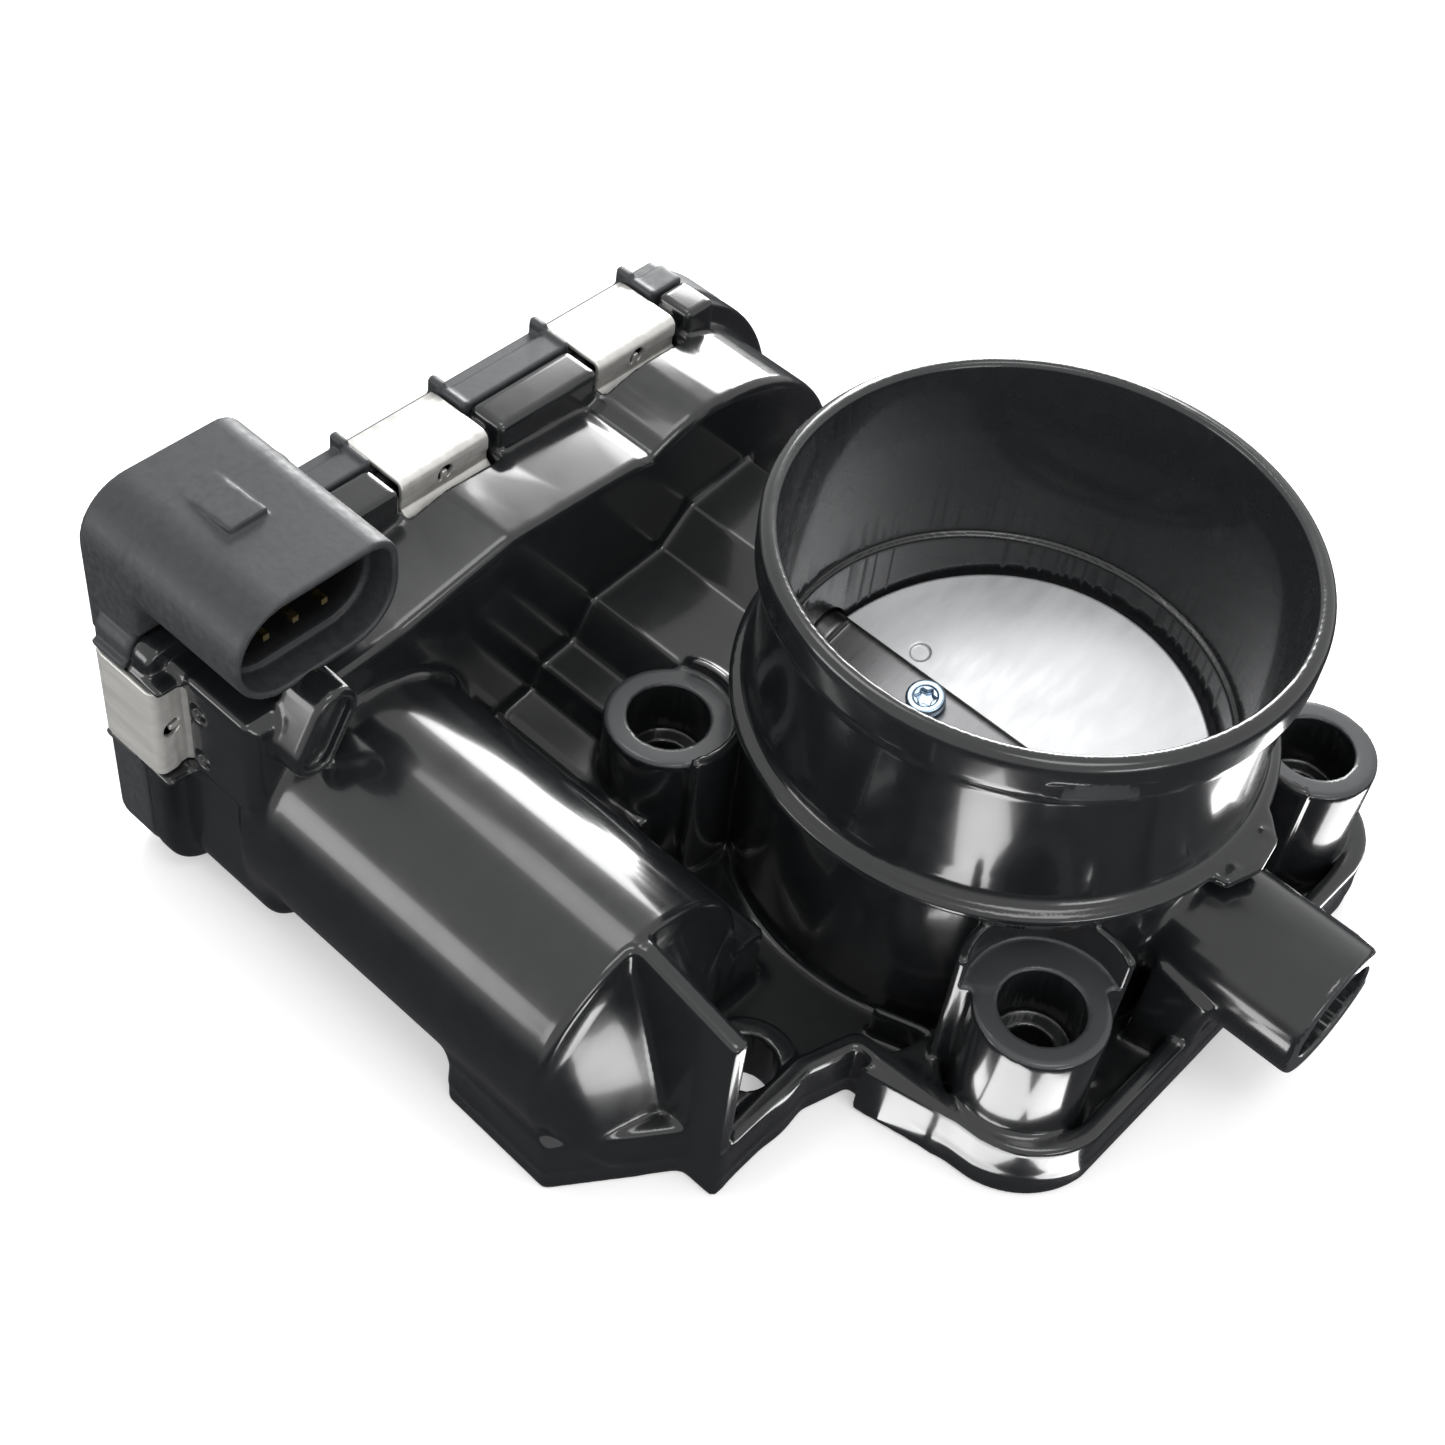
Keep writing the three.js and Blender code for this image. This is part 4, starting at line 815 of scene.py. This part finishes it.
def spindle(steel):
    """The shaft, with a flat for the screws, a slot for the plate and two flats for the sector."""
    field = Field((SHAFT_START, -SHAFT_RADIUS, -SHAFT_RADIUS),
                  (SHAFT_END, SHAFT_RADIUS, SHAFT_RADIUS), THIN + 0.06)
    field.add(bar("x", SHAFT_RADIUS, SHAFT_START, SHAFT_END, 0, 0, 0.4))
    field.cut(block(-31, 31, -6, 6, SHAFT_FLAT, 7, 0), 0.8)
    slot, half = PLATE_RADIUS + JOINT_GAP, PLATE_THICKNESS / 2 + JOINT_GAP
    field.cut(block(-slot, slot, -6, 6, -half, half, 0))
    for x in (-SCREW_X, SCREW_X):
        field.cut(bar("z", SCREW_HOLE, -3.5, 7, x, 0, 0))
    for y0, y1 in ((-7, -DRIVE_FLAT), (DRIVE_FLAT, 7)):
        field.cut(block(SHAFT_START - PAST, DRIVE_END, y0, y1, -7, 7, 0))
    shaft = build("throttle_spindle", field, SHAFT_FACES, TILT)
    finish(shaft, steel, "throttle", "shaft_steel", "throttle_shaft")


def star_screw(i, x, zinc):
    """A plate screw with a low round head and a six-pointed star drive."""
    head = SHAFT_FLAT + JOINT_GAP
    top = head + SCREW_HEIGHT
    field = Field((x - SCREW_HEAD, -SCREW_HEAD, -3.2), (x + SCREW_HEAD, SCREW_HEAD, top), 0.14)
    field.add(bar("z", SCREW_HEAD, head, top, x, 0, 0.45))
    field.add(bar("z", SCREW_SHANK, -3.2, head + 0.3, x, 0, 0.2))
    star = [(x + r * math.cos(t), r * math.sin(t)) for r, t in
            ((STAR_OUTER if k % 2 else STAR_INNER, math.radians(30 * k)) for k in range(12))]
    field.cut(push("z", polygon(star), head + 0.6, head + 4, 0))
    field.cut(bar("z", STAR_OUTER + 0.2, head + 1.55, head + 4, x, 0, 0))
    screw = build(f"star_screw_{i}", field, SMALL_FACES, TILT)
    finish(screw, zinc, "throttle", "screw_zinc", f"plate_screw_{i}")


def throttle(steel, aluminium, zinc):
    """Plate, shaft and screws, modelled level about the shaft's axis and tilted to rest."""
    butterfly(aluminium)
    spindle(steel)
    for i, x in enumerate((-SCREW_X, SCREW_X), 1):
        star_screw(i, x, zinc)


def end_plug(steel):
    """The pressed cap that closes the far bearing, with a shallow dish."""
    start, end = BEARING_BOSS_END - 5, BEARING_BOSS_END - 2.5
    field = Field((start, -BEARING_OUTER, SHAFT_Z - BEARING_OUTER),
                  (end, BEARING_OUTER, SHAFT_Z + BEARING_OUTER), THIN)
    field.add(bar("x", BEARING_OUTER, start, end, 0, SHAFT_Z, 0.5))
    field.cut(bar("x", CAP_DISH, BEARING_BOSS_END - 3.1, BEARING_BOSS_END, 0, SHAFT_Z, 0.1), 0.5)
    cap = build("bearing_cap", field, SMALL_FACES)
    finish(cap, steel, "housing", "shaft_steel", "bearing_end_plug")


# ---------------------------------------------------------------- materials

def surface(name, colours, roughness, metallic=0.0, coat=0.0, grain=400.0, stretch=(1, 1, 1),
            bump=0.0):
    """A finish that wanders between two colours and two roughnesses over a grain of its own,
    with `grain` cycles to the metre, stretched along the axes."""
    material = bpy.data.materials.new(name)
    material.use_nodes = True
    tree = material.node_tree
    shader = tree.nodes["Principled BSDF"]
    shader.inputs["Metallic"].default_value = metallic
    shader.inputs["Coat Weight"].default_value = coat
    shader.inputs["Coat Roughness"].default_value = 0.08

    place_node = tree.nodes.new("ShaderNodeTexCoord")
    mapping = tree.nodes.new("ShaderNodeMapping")
    mapping.inputs["Scale"].default_value = [grain * s for s in stretch]
    tree.links.new(place_node.outputs["Object"], mapping.inputs["Vector"])
    noise = tree.nodes.new("ShaderNodeTexNoise")
    noise.inputs["Scale"].default_value = 1.0
    noise.inputs["Detail"].default_value = 3.0
    tree.links.new(mapping.outputs["Vector"], noise.inputs["Vector"])

    ramp = tree.nodes.new("ShaderNodeValToRGB")
    for stop, at, colour in zip(ramp.color_ramp.elements, (0.3, 0.7), colours):
        stop.position = at
        stop.color = (*colour, 1)
    tree.links.new(noise.outputs["Fac"], ramp.inputs["Fac"])
    tree.links.new(ramp.outputs["Color"], shader.inputs["Base Color"])

    spread = tree.nodes.new("ShaderNodeMapRange")
    spread.inputs["From Min"].default_value = 0.3
    spread.inputs["From Max"].default_value = 0.7
    spread.inputs["To Min"].default_value = roughness[0]
    spread.inputs["To Max"].default_value = roughness[1]
    tree.links.new(noise.outputs["Fac"], spread.inputs["Value"])
    tree.links.new(spread.outputs["Result"], shader.inputs["Roughness"])
    if bump:
        relief = tree.nodes.new("ShaderNodeBump")
        relief.inputs["Strength"].default_value = bump
        relief.inputs["Distance"].default_value = 0.0002
        tree.links.new(noise.outputs["Fac"], relief.inputs["Height"])
        tree.links.new(relief.outputs["Normal"], shader.inputs["Normal"])
    return material


def fade(tree, factor, socket, target, data_type="RGBA"):
    """Leads what feeds a socket over to a constant as `factor` goes from 0 to 1."""
    mix = tree.nodes.new("ShaderNodeMix")
    mix.data_type = data_type
    kind = {"RGBA": 2, "FLOAT": 0}[data_type]
    first, second = [i for i in mix.inputs if i.name in "AB"][kind * 2:kind * 2 + 2]
    source = socket.links[0].from_socket
    tree.links.new(source, first)
    second.default_value = target
    tree.links.new(factor, mix.inputs["Factor"])
    output = [o for o in mix.outputs if o.name == "Result"][kind]
    tree.links.new(output, socket)


def coated_casting():
    """Gloss black coating, with satin machined faces where the casting says so."""
    material = surface("coated_casting", [(0.010, 0.011, 0.012), (0.013, 0.014, 0.015)],
                       (0.17, 0.22), coat=0.5, grain=260, bump=0.015)
    tree = material.node_tree
    shader = tree.nodes["Principled BSDF"]
    machined = tree.nodes.new("ShaderNodeAttribute")
    machined.attribute_name = "machined"
    fade(tree, machined.outputs["Fac"], shader.inputs["Base Color"], (0.035, 0.037, 0.04, 1))
    fade(tree, machined.outputs["Fac"], shader.inputs["Roughness"], 0.5, "FLOAT")
    return material


def cover_plastic():
    """Fine matte moulding, with painted shade: its colour darkens down in the plug socket, where
    little light gets.
    """
    material = surface("cover_plastic", [(0.030, 0.032, 0.035), (0.040, 0.043, 0.047)],
                       (0.42, 0.55), grain=900, bump=0.12)
    tree = material.node_tree
    socket_painted_shade = tree.nodes.new("ShaderNodeAttribute")
    socket_painted_shade.attribute_name = "socket_painted_shade"
    shader = tree.nodes["Principled BSDF"]
    # Painted shade: the base colour fades to near black deep in the plug socket.
    fade(tree, socket_painted_shade.outputs["Fac"], shader.inputs["Base Color"], (0.004, 0.004, 0.005, 1))
    return material


def finishes():
    """One material for each slot of the record."""
    return {
        "coated_casting": coated_casting(),
        "cover_plastic": cover_plastic(),
        "clip_steel": surface("clip_steel", [(0.66, 0.65, 0.62), (0.76, 0.75, 0.72)],
                              (0.28, 0.4), 0.6, grain=300, stretch=(0.3, 2.5, 2.5), bump=0.03),
        "shaft_steel": surface("shaft_steel", [(0.19, 0.19, 0.195), (0.24, 0.24, 0.245)],
                               (0.26, 0.34), 1, grain=300, stretch=(3, 0.4, 0.4)),
        "spring_steel": surface("spring_steel", [(0.24, 0.23, 0.22), (0.36, 0.35, 0.33)],
                                (0.3, 0.45), 1, grain=600),
        "motor_steel": surface("motor_steel", [(0.42, 0.42, 0.43), (0.56, 0.56, 0.57)],
                               (0.28, 0.42), 1, grain=250),
        "plate_aluminium": surface("plate_aluminium", [(0.82, 0.83, 0.85), (0.92, 0.93, 0.94)],
                                   (0.34, 0.46), 0.7, grain=160, stretch=(3, 1, 1), bump=0.05),
        "screw_zinc": surface("screw_zinc", [(0.36, 0.48, 0.62), (0.55, 0.65, 0.75)],
                              (0.2, 0.35), 1, grain=500, bump=0.05),
        "rubber": surface("rubber", [(0.012, 0.012, 0.012), (0.022, 0.022, 0.022)], (0.7, 0.85),
                          grain=700, bump=0.1),
        "gear_plastic": surface("gear_plastic", [(0.70, 0.67, 0.58), (0.78, 0.75, 0.66)],
                                (0.4, 0.55), grain=400, bump=0.04),
        "brass": surface("brass", [(0.62, 0.48, 0.2), (0.78, 0.63, 0.32)], (0.2, 0.35), 1,
                         grain=500),
        "ferrite": surface("ferrite", [(0.06, 0.056, 0.053), (0.1, 0.094, 0.09)], (0.6, 0.8),
                           0.2, grain=900, bump=0.1),
        "circuit_board": surface("circuit_board", [(0.02, 0.12, 0.06), (0.035, 0.18, 0.09)],
                                 (0.35, 0.5), grain=300),
    }


def dress_frame(looks):
    """Gives every CAD node its slot's finish; those that a piece stands for stay hidden."""
    for entry in frame["record"]["subparts"]:
        node = frame["nodes"][entry["node"]]
        node.data.materials.clear()
        node.data.materials.append(looks[entry["material_slot"]])


# ---------------------------------------------------------------- scene

def softbox(name, at, target, size, radiance):
    """A rectangular lamp, placed and aimed in mm in the bore frame, of an even brightness."""
    data = bpy.data.lights.new(name, "AREA")
    data.shape = "RECTANGLE"
    data.size, data.size_y = (length * MM for length in size)
    data.energy = radiance * math.pi * data.size * data.size_y
    lamp = bpy.data.objects.new(name, data)
    bpy.context.scene.collection.objects.link(lamp)
    lamp.location = place(at)
    aim = Vector(target) - Vector(at)
    lamp.rotation_euler = aim.to_track_quat("-Z", "Y").to_euler()
    lamp.visible_camera = False
    return lamp


CAMERA_AT = (104.64, -208.93, 248.52)
CAMERA_RIGHT, CAMERA_BACK = (0.7286, 0.6783, 0.0959), (0.3930, -0.5285, 0.7526)
LENS, SENSOR = 57.3, 36


def camera():
    data = bpy.data.cameras.new("camera")
    data.lens, data.sensor_width = LENS, SENSOR
    data.clip_start = 0.01
    cam = bpy.data.objects.new("camera", data)
    bpy.context.scene.collection.objects.link(cam)
    right = Vector(CAMERA_RIGHT).normalized()
    back = Vector(CAMERA_BACK).normalized()
    up = back.cross(right).normalized()
    right = up.cross(back)
    pose = Matrix((right, up, back)).transposed().to_4x4()
    pose.translation = place(CAMERA_AT)
    cam.matrix_world = pose
    bpy.context.scene.camera = cam


def sky():
    """White above the horizon and dark below it, so that upright black walls stay black."""
    world = bpy.data.worlds.new("studio")
    bpy.context.scene.world = world
    world.use_nodes = True
    tree = world.node_tree
    around = tree.nodes.new("ShaderNodeTexCoord")
    split = tree.nodes.new("ShaderNodeSeparateXYZ")
    ramp = tree.nodes.new("ShaderNodeValToRGB")
    dark, bright = ramp.color_ramp.elements
    dark.position, bright.position = 0.38, 0.5
    dark.color, bright.color = (0.07, 0.07, 0.075, 1), (1, 1, 1, 1)
    height = tree.nodes.new("ShaderNodeMapRange")
    height.inputs["From Min"].default_value = -1
    tree.links.new(around.outputs["Generated"], split.inputs["Vector"])
    tree.links.new(split.outputs["Z"], height.inputs["Value"])
    tree.links.new(height.outputs["Result"], ramp.inputs["Fac"])
    tree.links.new(ramp.outputs["Color"], tree.nodes["Background"].inputs["Color"])
    tree.nodes["Background"].inputs["Strength"].default_value = 0.9


def studio():
    """A white floor and sky, softboxes, and low cards whose only part is to be mirrored in the
    upright black walls."""
    bpy.ops.mesh.primitive_plane_add(size=8)
    floor = bpy.context.object
    floor.name = "floor"
    white = surface("floor_white", [(0.93, 0.93, 0.93), (0.95, 0.95, 0.95)], (0.75, 0.85), grain=4)
    glow = white.node_tree.nodes["Principled BSDF"].inputs
    glow["Emission Color"].default_value = (1, 1, 1, 1)
    glow["Emission Strength"].default_value = 0.3
    floor.data.materials.append(white)
    floor.visible_glossy = False
    sky()
    softbox("tall", (-503, 692, 270), (0, 0, 0), (420, 640), 13)
    softbox("overhead", (420, -120, 1050), (0, -20, 0), (500, 350), 4)
    softbox("side", (900, -260, 110), (0, -40, 0), (320, 200), 5)
    softbox("plate", (-393, 132, 911), (0, 0, 0), (300, 260), 3.5)
    softbox("left", (-560, -900, 150), (-60, -60, 0), (420, 300), 4)
    for name, (x0, x1, y0, y1) in (("low_front", (31, 52, -84, -49)),
                                   ("low_window", (23, 30, -57, -49)),
                                   ("low_corner", (50.5, 62, -52, -34)),
                                   ("low_right", (54, 72, 26, 60))):
        at = ((x0 + x1) / 2, (y0 + y1) / 2, BASE_Z + 0.5)
        card = softbox(name, at, (at[0], at[1], 100), (x1 - x0, y1 - y0), 7)
        card.rotation_euler = (math.pi, 0, 0)
        card.visible_diffuse = False
    view = bpy.context.scene.view_settings
    view.view_transform = "Standard"
    view.look = "None"


looks = finishes()
dress_frame(looks)
housing(looks["coated_casting"])
gear_cover(looks["cover_plastic"])
clips(looks["clip_steel"])
throttle(looks["shaft_steel"], looks["plate_aluminium"], looks["screw_zinc"])
end_plug(looks["shaft_steel"])
camera()
studio()
